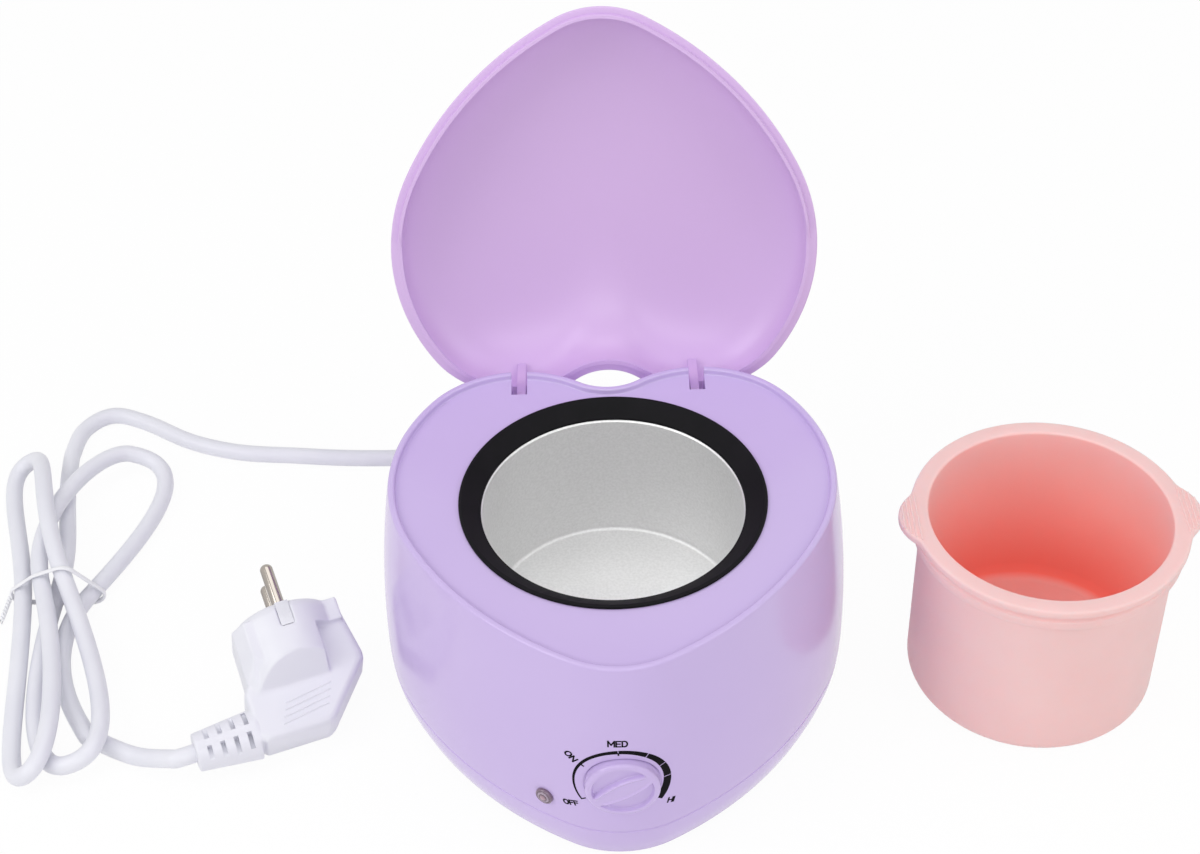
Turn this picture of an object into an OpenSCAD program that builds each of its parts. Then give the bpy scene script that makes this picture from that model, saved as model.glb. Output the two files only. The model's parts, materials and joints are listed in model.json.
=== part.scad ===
// Heart-shaped wax warmer: a lidded body with a heated well, a lift-out
// silicone pot and a mains lead that is tied in a hank.
// Millimetres, +Z up. The origin is the middle of the base cover's flat
// underside, straight below the well's axis. The heart's tip points to -Y.

/* [Heart outline] */
// From the well's axis to the tip of the heart
tip_y = 83; // [78:0.5:92]
// Radius of the tip
tip_r = 35; // [32:0.5:40]
// Turn of the outline round the tip, to one side
tip_turn = 28.5; // [26:0.5:31]
// Radius of a flank
flank_r = 131; // [122:1:145]
// Turn along a flank
flank_turn = 35; // [33:0.5:37]
// Radius of a side
side_r = 71.5; // [68:0.5:78]
// Turn along a side
side_turn = 63.5; // [60:0.5:66]
// Radius of a lobe
lobe_r = 39.6; // [38:0.2:42]
// Radius of the cleft between the lobes
cleft_r = 19; // [17:0.5:24]

/* [Body] */
// Height of the rim above the base's underside
rim_z = 91.5; // [86:0.5:104]
// How far the wall swells past the rim
belly = 5.2; // [4.4:0.1:6]
// Height of the widest place
belly_z = 26; // [24:0.5:30]
// How far the wall turns in under the widest place
tuck = 4.2; // [3:0.1:5]
// Height of the joint between shell and base cover
seam_z = 15.5; // [15:0.5:18]
// Thickness of the moulded walls
wall_t = 2.5; // [2.2:0.1:3]
// Width of the rim's lip
lip_w = 2.4; // [2:0.1:3]
// How far the deck lies below the rim
deck_drop = 2.2; // [1.8:0.1:3]
// Thickness of the base cover's floor
floor_t = 3.5; // [3.2:0.1:4.5]
// Length of foot that shows below the base
foot_h = 2; // [1:0.1:4]
// Radius of a foot
foot_r = 6; // [4.5:0.1:7]

/* [Well] */
// Inner radius of the heating pot
well_r = 46; // [44:0.2:47]
// Depth of the heating pot
well_depth = 54.6; // [48:0.2:58]
// Thickness of the heating pot
pot_t = 1.2; // [1:0.1:1.8]
// Width of the black ring, from the pot's wall out
ring_w = 8; // [7:0.1:8.6]
// Fall of the black ring from its edge to the pot
ring_fall = 4.2; // [3.4:0.1:5]

/* [Lid] */
// Angle from shut to open
lid_open = 104.5; // [95:0.5:106]
// Height of the lid's dome
lid_h = 24; // [20:0.5:30]
// Thickness of the lid
lid_t = 2.4; // [2:0.1:2.8]
// How far the lid's edge lies inside the rim's outline
lid_inset = 0.8; // [0.6:0.1:1.2]
// Depth of the locating lip on the lid's front half
lid_lip = 1.6; // [1:0.1:1.8]
// Radius of the hinge pins
pin_r = 1.5; // [1.2:0.1:1.7]
// Hinge axis below the rim
hinge_drop = 10; // [9.5:0.1:10.8]
// Hinge axis in from the lobe's back
hinge_in = 4.8; // [4.4:0.1:5.2]
// Thickness of a hinge arm
arm_t = 3.2; // [2.8:0.1:4]
// Width of a hinge slot
slot_w = 5.8; // [5.2:0.1:7]

/* [Dial] */
// Radius of the knob
knob_r = 12.7; // [11.5:0.1:13]
// Height of the knob
knob_h = 4.6; // [4.5:0.1:8]
// Height of the dial's axis above the base
dial_z = 40; // [36:0.5:44]
// Direction of OFF on the dial
dial_off = 212; // [205:1:220]
// Radius of the thermostat's spindle
spindle_r = 3; // [2.5:0.1:3.3]
// Radius of the indicator lens
lens_r = 3.3; // [3:0.1:4]
// Height of the indicator lens
lens_z = 26; // [24:0.5:28]

/* [Silicone pot] */
// Gap between the silicone pot's wall and the well
cup_gap = 0.8; // [0.4:0.1:1.6]
// Height of the silicone pot
cup_h = 77; // [70:0.5:80]
// Thickness of the silicone
cup_t = 2.2; // [1.6:0.1:3]
// Width of the flange outside the pot's wall
cup_flange = 4.1; // [3.4:0.1:5]
// Reach of an ear past the flange
cup_ear = 4.5; // [4:0.1:8]
// Gap from the body to the pot's ear
cup_space = 17.06; // [8:0.02:40]
// The pot's place front to back
cup_y = 1; // [-10:0.5:20]

/* [Mains lead] */
// Diameter of the lead
cord_d = 6.8; // [6.5:0.1:6.9]
// Length of the strain relief outside the body
gland_len = 30; // [26:0.5:33]
// Reach of the hank's widest fold from the tie
hank_run = 78; // [77:0.25:78.5]
// Half the width of the hank at the tie
hank_wide = 13.1; // [13:0.05:13.5]
// Radius of a plug pin
plug_pin_r = 2.4; // [2:0.1:2.4]
// Length of a plug pin
plug_pin_l = 19; // [18:0.5:19.5]
// Distance between the plug's pins
plug_pitch = 19; // [18:0.5:20]
// Radius of the plug's face
plug_r = 19; // [18:0.5:20]

/* [Hidden] */
$fn = 48;

// Colours
lavender = [0.66, 0.64, 0.84];
black = [0.06, 0.06, 0.06];
metal = [0.75, 0.75, 0.76];
white = [0.93, 0.93, 0.92];
pink = [0.93, 0.62, 0.62];

// Points along each arc of half the outline
n_tip = 6;
n_flank = 8;
n_side = 8;
n_lobe = 9;
n_cleft = 5;

// The outline is drawn round a well of this radius, and moves out with a larger one
drawn_well = 46;
grow = well_r - drawn_well;

// Centres of the outline's arcs, each tangent to the one before
turn_1 = tip_turn;
turn_2 = turn_1 + flank_turn;
turn_3 = turn_2 + side_turn;
function out(a) = [sin(a), -cos(a)];
tip_c = [0, tip_r - tip_y];
flank_c = tip_c + (tip_r - flank_r) * out(turn_1);
side_c = flank_c + (flank_r - side_r) * out(turn_2);
lobe_c = side_c + (side_r - lobe_r) * out(turn_3);
cleft_c = [0, lobe_c[1] + sqrt(pow(lobe_r + cleft_r, 2) - pow(lobe_c[0], 2))];
cleft_a = atan2(cleft_c[1] - lobe_c[1], -lobe_c[0]);
front_y = tip_y + grow;
rear_y = lobe_c[1] + lobe_r + grow;
cleft_y = cleft_c[1] - cleft_r + grow;

function arc(c, r, a0, a1, n) =
  [for (i = [0:n - 1]) let (a = a0 + (a1 - a0) * i / n) c + r * [cos(a), sin(a)]];

// The right half of the outline, moved in by d, from the tip to the cleft
function half_heart(d) = let (g = grow - d) concat(
  arc(tip_c, tip_r + g, -90, turn_1 - 90, n_tip),
  arc(flank_c, flank_r + g, turn_1 - 90, turn_2 - 90, n_flank),
  arc(side_c, side_r + g, turn_2 - 90, turn_3 - 90, n_side),
  arc(lobe_c, lobe_r + g, turn_3 - 90, cleft_a, n_lobe),
  arc(cleft_c, cleft_r - g, cleft_a - 180, -90, n_cleft),
  [[0, cleft_y - d]]);

function heart(d) = let (h = half_heart(d))
  concat(h, [for (i = [len(h) - 2:-1:1]) [-h[i][0], h[i][1]]]);

// Places beside the wall, moved in by d
function on_flank(a, d) = flank_c + (flank_r + grow - d) * out(a);
function on_side(a, d) = side_c + (side_r + grow - d) * out(a);
function on_lobe(a, d) = lobe_c + (lobe_r + grow - d) * out(a);

// Offset of the outer wall from the rim's outline at height z; outward is negative
function wall_d(z) = z > belly_z
  ? -belly * (1 - pow((z - belly_z) / (rim_z - belly_z), 2))
  : -belly + tuck * pow((belly_z - z) / belly_z, 2.9);

function ring(d, z) = [for (p = heart(d)) [p[0], p[1], z]];
function wall_ring(z, d) = ring(wall_d(z) + d, z);
function round_ring(r, z) = [for (p = heart(0)) let (a = atan2(p[1], p[0])) [r * cos(a), r * sin(a), z]];
function unit(v) = v / norm(v);
function mix(a, b, t) = a + (b - a) * t;
function smooth(t) = let (u = max(0, min(1, t))) u * u * (3 - 2 * u);

// Body heights and places
deck_z = rim_z - deck_drop;
deck_t = 2.5;
deck_under = deck_z - deck_t;
table_z = -foot_h;
foot_pocket = 2;
foot_gap = 0.15;
half_w = side_c[0] + side_r + grow + belly;
boss_r = 4;
boss_in = 16;
bosses = [on_flank(45, boss_in), on_side(100, boss_in)];
feet = [on_flank(36, 21), on_lobe(135, 22)];
screw_r = 1.6;
screw_head_r = 3.3;

// Ring and pot
ring_r = well_r + ring_w;
ring_skirt = ring_r - 2.8;
ring_top = deck_z + 1.1;
ring_low = ring_top - ring_fall - 0.8;
pot_top = ring_low;
pot_floor = pot_top - well_depth;
pot_out = well_r + pot_t;
pot_flange = ring_skirt - 0.4;
pot_under = pot_floor - pot_t;
clip_angles = [-90, 30, 150];
clip_t = 1;
clip_in = pot_out + 1.8;
clip_at = ring_skirt + 5.8;
clip_top = pot_top - pot_t;
clip_boss_r = 3.6;

// Heater band
band_in = pot_out + 0.05;
band_t = 1.3;
band_h = 26;
band_z = pot_floor + 8;
band_ear = 8;
band_gap = 5;
band_bolt_r = 1.5;
post_turn = 65;
band_turn = -35;

// Dial
dial_wall = -(front_y - wall_d(dial_z));
dial_seat = dial_wall + 2.3;
dial_pad = 3.1;
knob_gap = 0.3;
bush_r = 4.8;
stat_w = 24;
stat_deep = 18;
stat_back = dial_seat + dial_pad + stat_deep;
nut_h = 2;

// Indicator, on the left flank
lens_turn = 32;
lens_at = on_flank(lens_turn, wall_d(lens_z));
barrel_r = lens_r - 0.7;
lamp_r = 1.6;

// Hinge
hinge_x = lobe_c[0];
hinge_y = rear_y - hinge_in;
hinge_z = rim_z - hinge_drop;
slot_front = hinge_y - 6.2;
slot_low = hinge_z - 5.6;
eye_r = pin_r + 1.9;
lug_t = 4;

// Lid
lid_gap = 0.3;
lid_z = rim_z + lid_gap;

// Base floor furniture
block_w = 30;
block_d = 16;
block_h = 13;
way = 9;
core_r = 1;
lead_r = 1.1;
block_wire_z = floor_t + 5.5;
gland_z = floor_t + 5;
gland_wall = cleft_y - wall_d(gland_z);
gland_in = gland_wall - wall_t - 1.8;
gland_neck = 4.8;
gland_end = gland_wall + gland_len;
clamp_y = gland_in - 9;
clamp_x = 10;
clamp_d = 6;
block_gap = 4.06;
block_y = clamp_y - clamp_d / 2 - block_gap - block_d / 2;
sheath_r = cord_d / 2;

// A closed skin through rings of equal count; the last ring joins the first
module ring_skin(rings) {
  n = len(rings[0]);
  m = len(rings);
  polyhedron(
    [for (r = rings) each r],
    [for (j = [0:m - 1]) for (i = [0:n - 1])
      let (k = (j + 1) % m, l = (i + 1) % n)
      each [[j * n + i, k * n + l, j * n + l], [j * n + i, k * n + i, k * n + l]]]);
}

// A skin through rings, closed at both ends by fans from the given middles
module loft(rings, low, high) {
  n = len(rings[0]);
  m = len(rings);
  polyhedron(
    concat([for (r = rings) each r], [low, high]),
    concat(
      [for (j = [0:m - 2]) for (i = [0:n - 1])
        let (k = j + 1, l = (i + 1) % n)
        each [[j * n + i, k * n + l, j * n + l], [j * n + i, k * n + i, k * n + l]]],
      [for (i = [0:n - 1]) [m * n, i, (i + 1) % n]],
      [for (i = [0:n - 1]) [m * n + 1, (m - 1) * n + (i + 1) % n, (m - 1) * n + i]]));
}

// A tube along points
function heading(p, i) = unit(p[min(i + 1, len(p) - 1)] - p[max(i - 1, 0)]);
function tube_ring(c, t, r, n) =
  let (u = unit(cross(t, [0, 0, 1])), v = cross(t, u))
  [for (k = [0:n - 1]) c + r * (cos(360 * k / n) * u + sin(360 * k / n) * v)];
module tube(p, r, n) {
  loft([for (i = [0:len(p) - 1]) tube_ring(p[i], heading(p, i), r, n)], p[0], p[len(p) - 1]);
}

function bezier(a, b, c, d, n) = [for (i = [0:n]) let (t = i / n, s = 1 - t)
  s * s * s * a + 3 * s * s * t * b + 3 * s * t * t * c + t * t * t * d];

// Points between the route's points, on a smooth curve through them
function spline(p, n) = concat(
  [for (i = [0:len(p) - 2]) for (k = [0:n - 1])
    let (a = p[max(i - 1, 0)], b = p[i], c = p[i + 1], d = p[min(i + 2, len(p) - 1)], t = k / n)
    b + 0.5 * t * (c - a + t * (2 * a - 5 * b + 4 * c - d + t * (3 * (b - c) + d - a)))],
  [p[len(p) - 1]]);

module mirrored() {
  children();
  mirror([1, 0, 0]) children();
}

module along_y(y) {
  translate([0, y, 0]) rotate([90, 0, 0]) children();
}

// Body

shell_steps = [0.06, 0.14, 0.24, 0.36, 0.5, 0.64, 0.78, 0.9];

module shell_skin() {
  ring_skin(concat(
    [wall_ring(seam_z, 0.45), wall_ring(seam_z + 0.5, 0)],
    [for (s = shell_steps) wall_ring(mix(seam_z, rim_z, s), 0)],
    [ring(-0.08, rim_z - 0.9), ring(0.25, rim_z - 0.25), ring(0.9, rim_z)],
    [ring(lip_w - 0.7, rim_z), ring(lip_w, rim_z - 0.6), ring(lip_w + 0.1, deck_z + 0.5)],
    [ring(lip_w + 0.7, deck_z), round_ring(ring_skirt + 0.3, deck_z)],
    [round_ring(ring_skirt + 0.3, deck_under), ring(wall_d(deck_under) + wall_t, deck_under)],
    [for (s = [0.8, 0.6, 0.4, 0.25, 0.1]) wall_ring(mix(seam_z, rim_z, s), wall_t)],
    [wall_ring(seam_z, wall_t)]));
}

module hinge_lugs() {
  low = hinge_z - eye_r;
  for (x = [-1, 1])
    translate([hinge_x + x * (slot_w + lug_t) / 2 - lug_t / 2, slot_front, low])
      cube([lug_t, hinge_y + eye_r - slot_front, deck_under + 0.5 - low]);
}

module hinge_slot() {
  translate([hinge_x - slot_w / 2, slot_front, slot_low])
    cube([slot_w, 3 * hinge_in + 4, rim_z + 1 - slot_low]);
}

module hinge_bore(r) {
  translate([hinge_x - slot_w / 2 - lug_t, hinge_y, hinge_z])
    rotate([0, 90, 0]) cylinder(r = r, h = slot_w + 2 * lug_t);
}

module at_lens() {
  translate([-lens_at[0], lens_at[1], lens_z]) rotate([90, 0, -lens_turn]) children();
}

module outer_shell() {
  color(lavender) difference() {
    union() {
      shell_skin();
      mirrored() hinge_lugs();
      mirrored() for (b = bosses)
        translate([b[0], b[1], floor_t]) cylinder(r = boss_r, h = deck_under + 0.5 - floor_t);
      for (a = clip_angles)
        rotate(a) translate([clip_at, 0, clip_top]) cylinder(r = clip_boss_r, h = deck_under + 0.5 - clip_top);
      translate([0, dial_seat + dial_pad, dial_z]) rotate([90, 0, 0])
        cylinder(r = knob_r + 0.2, h = dial_pad + 0.1);
    }
    mirrored() hinge_slot();
    mirrored() hinge_bore(pin_r);
    mirrored() for (b = bosses)
      translate([b[0], b[1], floor_t - 1]) cylinder(r = screw_r, h = 13);
    for (a = clip_angles)
      rotate(a) translate([clip_at, 0, clip_top - 1]) cylinder(r = screw_r, h = 5);
    translate([0, dial_seat, dial_z]) rotate([90, 0, 0]) cylinder(r = knob_r + 0.5, h = 12);
    translate([0, dial_seat + dial_pad + 1, dial_z]) rotate([90, 0, 0]) cylinder(r = bush_r + 0.1, h = 8);
    at_lens() translate([0, 0, -8]) cylinder(r = barrel_r + 0.1, h = 16);
  }
}

module vents() {
  for (x = [-24:8:24])
    translate([x, -26]) {
      square([3, 24 - abs(x) / 3], center = true);
    }
}

module floor_outline() {
  polygon(heart(wall_d(0) + 1.6));
}

module base_cover() {
  color(lavender) {
    difference() {
      union() {
        linear_extrude(foot_pocket) difference() {
          floor_outline();
          vents();
          mirrored() for (f = feet) translate(f) circle(foot_r + foot_gap);
          mirrored() for (b = bosses) translate(b) circle(screw_head_r + 0.2);
        }
        translate([0, 0, foot_pocket]) linear_extrude(floor_t - foot_pocket) difference() {
          floor_outline();
          vents();
          mirrored() for (b = bosses) translate(b) circle(screw_r + 0.2);
        }
        ring_skin([wall_ring(0, 2.8), wall_ring(0, 0.9), wall_ring(0.8, 0), wall_ring(4, 0), wall_ring(8, 0),
          wall_ring(12, 0), wall_ring(seam_z - 0.5, 0), wall_ring(seam_z, 0.45), wall_ring(seam_z, wall_t),
          wall_ring(9, wall_t), wall_ring(floor_t, wall_t + 0.3)]);
        mirrored() translate([clamp_x, clamp_y, floor_t - 0.5])
          cylinder(r = 3, h = gland_z - floor_t + 0.5);
      }
      translate([0, gland_wall + 6, gland_z]) rotate([90, 0, 0]) cylinder(r = gland_neck + 0.05, h = 14);
      mirrored() translate([clamp_x, clamp_y, floor_t]) cylinder(r = 1.2, h = 9);
    }
  }
}

module rubber_feet() {
  color(black) mirrored() for (f = feet)
    translate([f[0], f[1], table_z]) {
      cylinder(r1 = foot_r - 0.5, r2 = foot_r, h = foot_h);
      translate([0, 0, foot_h]) cylinder(r = foot_r, h = foot_pocket);
    }
}

module base_screws() {
  color(metal) mirrored() for (b = bosses)
    translate([b[0], b[1], 0]) {
      translate([0, 0, 0.3]) difference() {
        cylinder(r = screw_head_r, h = foot_pocket - 0.3);
        translate([0, 0, -0.1]) {
          translate([-2.2, -0.4, 0]) cube([4.4, 0.8, 1]);
          translate([-0.4, -2.2, 0]) cube([0.8, 4.4, 1]);
        }
      }
      translate([0, 0, foot_pocket]) cylinder(r = screw_r - 0.02, h = 10);
    }
}

// Ring, pot and heater

module well_ring() {
  color(black) rotate_extrude() polygon([
    [ring_skirt, deck_z], [ring_r, deck_z], [ring_r, ring_top - 0.5], [ring_r - 0.5, ring_top],
    [ring_r - 1.2, ring_top], [well_r + 1.2, ring_top - ring_fall + 0.4], [well_r + 0.4, ring_top - ring_fall],
    [well_r + 0.3, ring_low], [ring_skirt, ring_low]]);
}

module heating_pot() {
  corner = 1.5;
  color(metal) rotate_extrude() difference() {
    union() {
      square([pot_flange, pot_top]);
    }
    translate([0, pot_floor + corner]) square([well_r, well_depth]);
    translate([0, pot_floor]) square([well_r - corner, well_depth]);
    translate([well_r - corner, pot_floor + corner]) circle(corner);
    square([pot_flange + 1, pot_under]);
    translate([pot_out, 0]) square([pot_flange, clip_top]);
    difference() {
      translate([pot_out - corner - pot_t, pot_under]) square(corner + pot_t);
      translate([pot_out - corner - pot_t, pot_under + corner + pot_t]) circle(corner + pot_t);
    }
  }
}

module pot_clips() {
  color(metal) for (a = clip_angles)
    rotate(a) translate([0, 0, clip_top - clip_t]) linear_extrude(clip_t) difference() {
      translate([clip_in, -4]) square([clip_at + clip_boss_r - clip_in, 8]);
      translate([clip_at, 0]) circle(screw_r + 0.1);
    }
}

module clip_screws() {
  color(metal) for (a = clip_angles)
    rotate(a) translate([clip_at, 0, clip_top - clip_t - 2]) {
      cylinder(r = screw_head_r - 0.4, h = 2);
      translate([0, 0, 2]) cylinder(r = screw_r - 0.02, h = 4.5);
    }
}

module heater_band() {
  color([0.62, 0.58, 0.5]) difference() {
    union() {
      translate([0, 0, band_z]) cylinder(r = band_in + band_t, h = band_h);
      rotate(band_turn) for (x = [-1, 1])
        translate([x * (band_gap / 2 + 0.6) - 0.6, band_in + 0.5, band_z + band_h / 2 - 6])
          cube([1.2, band_ear, 12]);
      for (a = [post_turn - 180, -post_turn])
        rotate(a) translate([band_in + 0.5, 0, band_z + 5]) rotate([0, 90, 0]) cylinder(r = 1.5, h = 3.5);
    }
    translate([0, 0, band_z - 1]) cylinder(r = band_in, h = band_h + 2);
    rotate(band_turn) {
      translate([-band_gap / 2, 0, band_z - 1]) cube([band_gap, band_in + band_ear + 2, band_h + 2]);
      translate([-9, band_in + 5.2, band_z + band_h / 2]) rotate([0, 90, 0])
        cylinder(r = band_bolt_r + 0.05, h = 18);
    }
  }
}

module band_screw() {
  half = band_gap / 2 + 1.2;
  color(metal) rotate(band_turn) translate([0, band_in + 5.2, band_z + band_h / 2]) rotate([0, 90, 0]) {
    translate([0, 0, -half - 2]) cylinder(r = 2.8, h = 2);
    translate([0, 0, -half]) cylinder(r = band_bolt_r, h = 2 * half + 3.5);
    translate([0, 0, half]) difference() {
      cylinder(r = 3, h = 2.2, $fn = 6);
      translate([0, 0, -1]) cylinder(r = band_bolt_r, h = 5);
    }
  }
}

// Under the pot

fuse_r = 2;
fuse_l = 11;
fuse_x = 16;
fuse_z = pot_under - fuse_r;

module thermal_fuse() {
  color(metal) translate([fuse_x, fuse_l / 2, fuse_z]) rotate([90, 0, 0]) {
    cylinder(r = fuse_r, h = fuse_l);
    translate([0, 0, -5]) cylinder(r = 0.5, h = fuse_l + 10);
  }
}

module fuse_clip() {
  color(metal) {
    difference() {
      translate([fuse_x - 2 * fuse_r, -3, pot_under - 2 * fuse_r - 1]) cube([4 * fuse_r, 6, 2 * fuse_r + 1]);
      translate([fuse_x, 4, fuse_z]) rotate([90, 0, 0]) cylinder(r = fuse_r, h = 8);
      translate([fuse_x - fuse_r, -4, fuse_z]) cube([2 * fuse_r, 8, fuse_r + 1]);
    }
    translate([fuse_x - 2 * fuse_r - 9, -3, pot_under - 1]) difference() {
      cube([9, 6, 1]);
      translate([3.5, 3, -1]) cylinder(r = 1.5, h = 3);
    }
    translate([fuse_x - 2 * fuse_r - 5.5, 0, pot_under - 3]) {
      cylinder(r = 2.6, h = 2);
      cylinder(r = 1.5, h = 3);
    }
  }
}

// Dial and indicator

module thermostat() {
  front = dial_seat + dial_pad;
  color([0.85, 0.83, 0.78]) difference() {
    union() {
      translate([-stat_w / 2, front, dial_z - stat_w / 2]) cube([stat_w, stat_deep, stat_w]);
      translate([0, front + 1, dial_z]) rotate([90, 0, 0]) cylinder(r = bush_r, h = dial_pad + nut_h + 1);
      for (x = [-7, 7])
        translate([x - 2.5, stat_back - 1, dial_z - 8]) cube([5, 7, 0.8]);
    }
    translate([0, front + 12, dial_z]) rotate([90, 0, 0]) cylinder(r = spindle_r + 0.05, h = 40);
  }
}

module thermostat_nut() {
  color(metal) translate([0, dial_seat, dial_z]) rotate([90, 0, 0]) difference() {
    cylinder(r = 7, h = nut_h - 0.1, $fn = 6);
    translate([0, 0, -1]) cylinder(r = bush_r + 0.05, h = 5);
  }
}

module knob() {
  face = 1.4;
  bar = 6.4;
  color(lavender) translate([0, dial_seat, dial_z]) rotate([90, 0, 0]) rotate(dial_off) difference() {
    union() {
      rotate_extrude() polygon([[0, knob_gap], [knob_r, knob_gap], [knob_r, knob_h - 1.4],
        [knob_r - 0.4, knob_h - 0.5], [knob_r - 1.4, knob_h], [0, knob_h]]);
    }
    translate([0, 0, knob_h - face]) linear_extrude(face + 1) difference() {
      circle(knob_r - 2);
      square([3 * knob_r, bar], center = true);
    }
    translate([0, 0, -1]) cylinder(r = 8, h = nut_h + 1.4);
    translate([0, 0, -1]) cylinder(r = spindle_r + 0.02, h = knob_h - 0.4);
  }
}

module spindle() {
  color(metal) translate([0, dial_seat + dial_pad + 11.6, dial_z]) rotate([90, 0, 0])
    cylinder(r = spindle_r, h = dial_pad + 11.6 + knob_h - 1.6);
}

module indicator_lens() {
  color([0.72, 0.55, 0.62]) at_lens() rotate_extrude() difference() {
    union() {
      translate([0, -9]) square([barrel_r, 10]);
      translate([0, 0.15]) square([lens_r, 0.85]);
      polygon([[0, 0.5], [lens_r, 1], [lens_r - 0.6, 1.5], [0, 1.9]]);
    }
    translate([0, -10]) square([lamp_r + 0.1, 9]);
  }
}

module neon_lamp() {
  color([0.9, 0.6, 0.4]) at_lens() translate([0, 0, -11]) {
    cylinder(r = lamp_r, h = 9.9);
  }
}

// Wiring in the base

module terminal_block() {
  color(white) difference() {
    translate([-block_w / 2, block_y - block_d / 2, floor_t]) cube([block_w, block_d, block_h]);
    for (x = [-way, 0, way]) {
      translate([x, block_y + block_d, block_wire_z]) rotate([90, 0, 0])
        cylinder(r = core_r + 0.3, h = 2 * block_d);
      for (y = [-4, 4])
        translate([x, block_y + y, block_wire_z]) cylinder(r = 1.5, h = block_h);
    }
  }
}

module terminal_screws() {
  color(metal) for (x = [-way, 0, way]) for (y = [-4, 4])
    translate([x, block_y + y, block_wire_z + lead_r + 0.15]) cylinder(r = 1.48, h = 4);
}

module cord_clamp() {
  low = gland_z + 0.05;
  color(white) difference() {
    translate([-clamp_x - 3.5, clamp_y - clamp_d / 2, low]) cube([2 * clamp_x + 7, clamp_d, sheath_r + 2.4]);
    translate([0, clamp_y + clamp_d, gland_z]) rotate([90, 0, 0]) cylinder(r = sheath_r + 0.05, h = 2 * clamp_d);
    mirrored() translate([clamp_x, clamp_y, low - 1]) cylinder(r = 1.4, h = 12);
  }
}

module clamp_screws() {
  color(metal) mirrored() translate([clamp_x, clamp_y, floor_t + 0.5]) {
    cylinder(r = 1.18, h = gland_z - floor_t + sheath_r + 2);
    translate([0, 0, gland_z - floor_t + sheath_r + 1.95]) cylinder(r = 2.5, h = 1.6);
  }
}

block_back = block_y + block_d / 2;
block_front = block_y - block_d / 2;
sheath_end = clamp_y - clamp_d / 2 - 1.5;

module inner_lead() {
  color(white) {
    along_y(gland_in - 2) translate([0, gland_z, 0]) cylinder(r = sheath_r, h = gland_in - 2 - sheath_end);
    for (x = [-1, 0, 1])
      tube(concat(bezier([2.2 * x, sheath_end + 0.1, gland_z], [2.2 * x, sheath_end - 3, gland_z],
        [way * x, block_back + 4, block_wire_z], [way * x, block_back + 0.6, block_wire_z], 8),
        [[way * x, block_back - 2, block_wire_z], [way * x, block_back - 5, block_wire_z]]), core_r, 8);
  }
}

// A lead's straight end in the terminal block, then the rest of it
function from_block(x, p) = concat([for (y = [5, 2]) [x, block_front + y, block_wire_z]], p);

stat_tab = [7, stat_back + 6, dial_z - 7.6];
band_post = [cos(post_turn), sin(post_turn)] * (band_in + 4);
fuse_end = fuse_l / 2 + 5;

module live_lead() {
  color([0.45, 0.28, 0.18]) tube(from_block(-way, bezier([-way, block_front - 1, block_wire_z],
    [-way, block_front - 30, block_wire_z], [-stat_tab[0], stat_tab[1] + 30, stat_tab[2] - 12],
    [-stat_tab[0], stat_tab[1] - 0.2, stat_tab[2]], 12)), lead_r, 8);
}

module load_lead() {
  color([0.7, 0.15, 0.12]) tube(bezier([stat_tab[0], stat_tab[1] - 0.2, stat_tab[2]],
    [stat_tab[0], stat_tab[1] + 20, stat_tab[2] - 10], [fuse_x, -fuse_end - 14, fuse_z - 2],
    [fuse_x, 0.2 - fuse_end, fuse_z], 10), lead_r, 8);
}

module fuse_lead() {
  color([0.7, 0.15, 0.12]) tube(bezier([fuse_x, fuse_end - 0.2, fuse_z], [fuse_x, fuse_end + 18, fuse_z - 12],
    [band_post[0] + 26, 1 - band_post[1], band_z - 24],
    [band_post[0] + 0.2, -band_post[1], band_z + 5], 14), lead_r, 8);
}

module neutral_lead() {
  color([0.2, 0.35, 0.65]) tube(from_block(0, bezier([0, block_front - 1, block_wire_z],
    [0, block_front - 40, block_wire_z - 2],
    [-band_post[0] - 20, -band_post[1] - 6, band_z - 28],
    [-band_post[0] - 0.2, -band_post[1], band_z + 5], 14)), lead_r, 8);
}

module earth_lead() {
  stud = [fuse_x - 2 * fuse_r - 5.5, 0, pot_under - 3];
  color([0.45, 0.6, 0.2]) tube(from_block(way, bezier([way, block_front - 1, block_wire_z],
    [way, block_front - 14, block_wire_z],
    [stud[0] - 8, stud[1] + 12, stud[2] - 8], [stud[0], stud[1] + 2.4, stud[2] + 1], 10)), lead_r, 8);
}

module lamp_leads() {
  back = [-lens_at[0], lens_at[1], lens_z] + 11 * [sin(lens_turn), cos(lens_turn), 0];
  color(white) for (s = [-1, 1])
    tube(bezier(back + [0.7 * s, 0, 0], back + [0.7 * s + 5, 8, -2], [s - 8, stat_back + 14, dial_z - 16],
      [s - 7, stat_back + 5.6, dial_z - 8.4 - 0.2], 10), 0.5, 6);
}

// Lid and hinge

module hinge_pins() {
  color(metal) mirrored() translate([0.2, 0, 0]) hinge_bore(pin_r - 0.02);
}

// The dome's outline shrinks to a circle towards its middle
function dome_ring(d, k, z) = let (w = smooth(1.15 - k), r = 56) [for (p = heart(d))
  let (a = atan2(p[1], p[0]), q = mix(p, [r * cos(a), r * sin(a)], w)) [k * q[0], k * q[1], z]];
function dome_h(k) = pow(1 - pow(k, 2.6), 1 / 2.2);
dome_steps = [0.992, 0.965, 0.92, 0.85, 0.74, 0.58, 0.38, 0.18];
lip_d = lid_inset + lip_w + 0.2;
lip_drop = 0.06;
back_rise = 0.9;
back_y = hinge_y - 2 * hinge_in;
function edge_z(p) = lid_z + back_rise * smooth((p[1] - back_y) / (2 * hinge_in));
function edge_ring(d, z) = [for (p = heart(d)) [p[0], p[1], edge_z(p) + z]];

// The locating lip runs round the front half only
function lip_ring(d, full) = [for (p = heart(d))
  let (f = full * smooth((6 - p[1]) / 5)) [p[0], p[1], edge_z(p) - lip_drop - f * lid_lip]];

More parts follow.
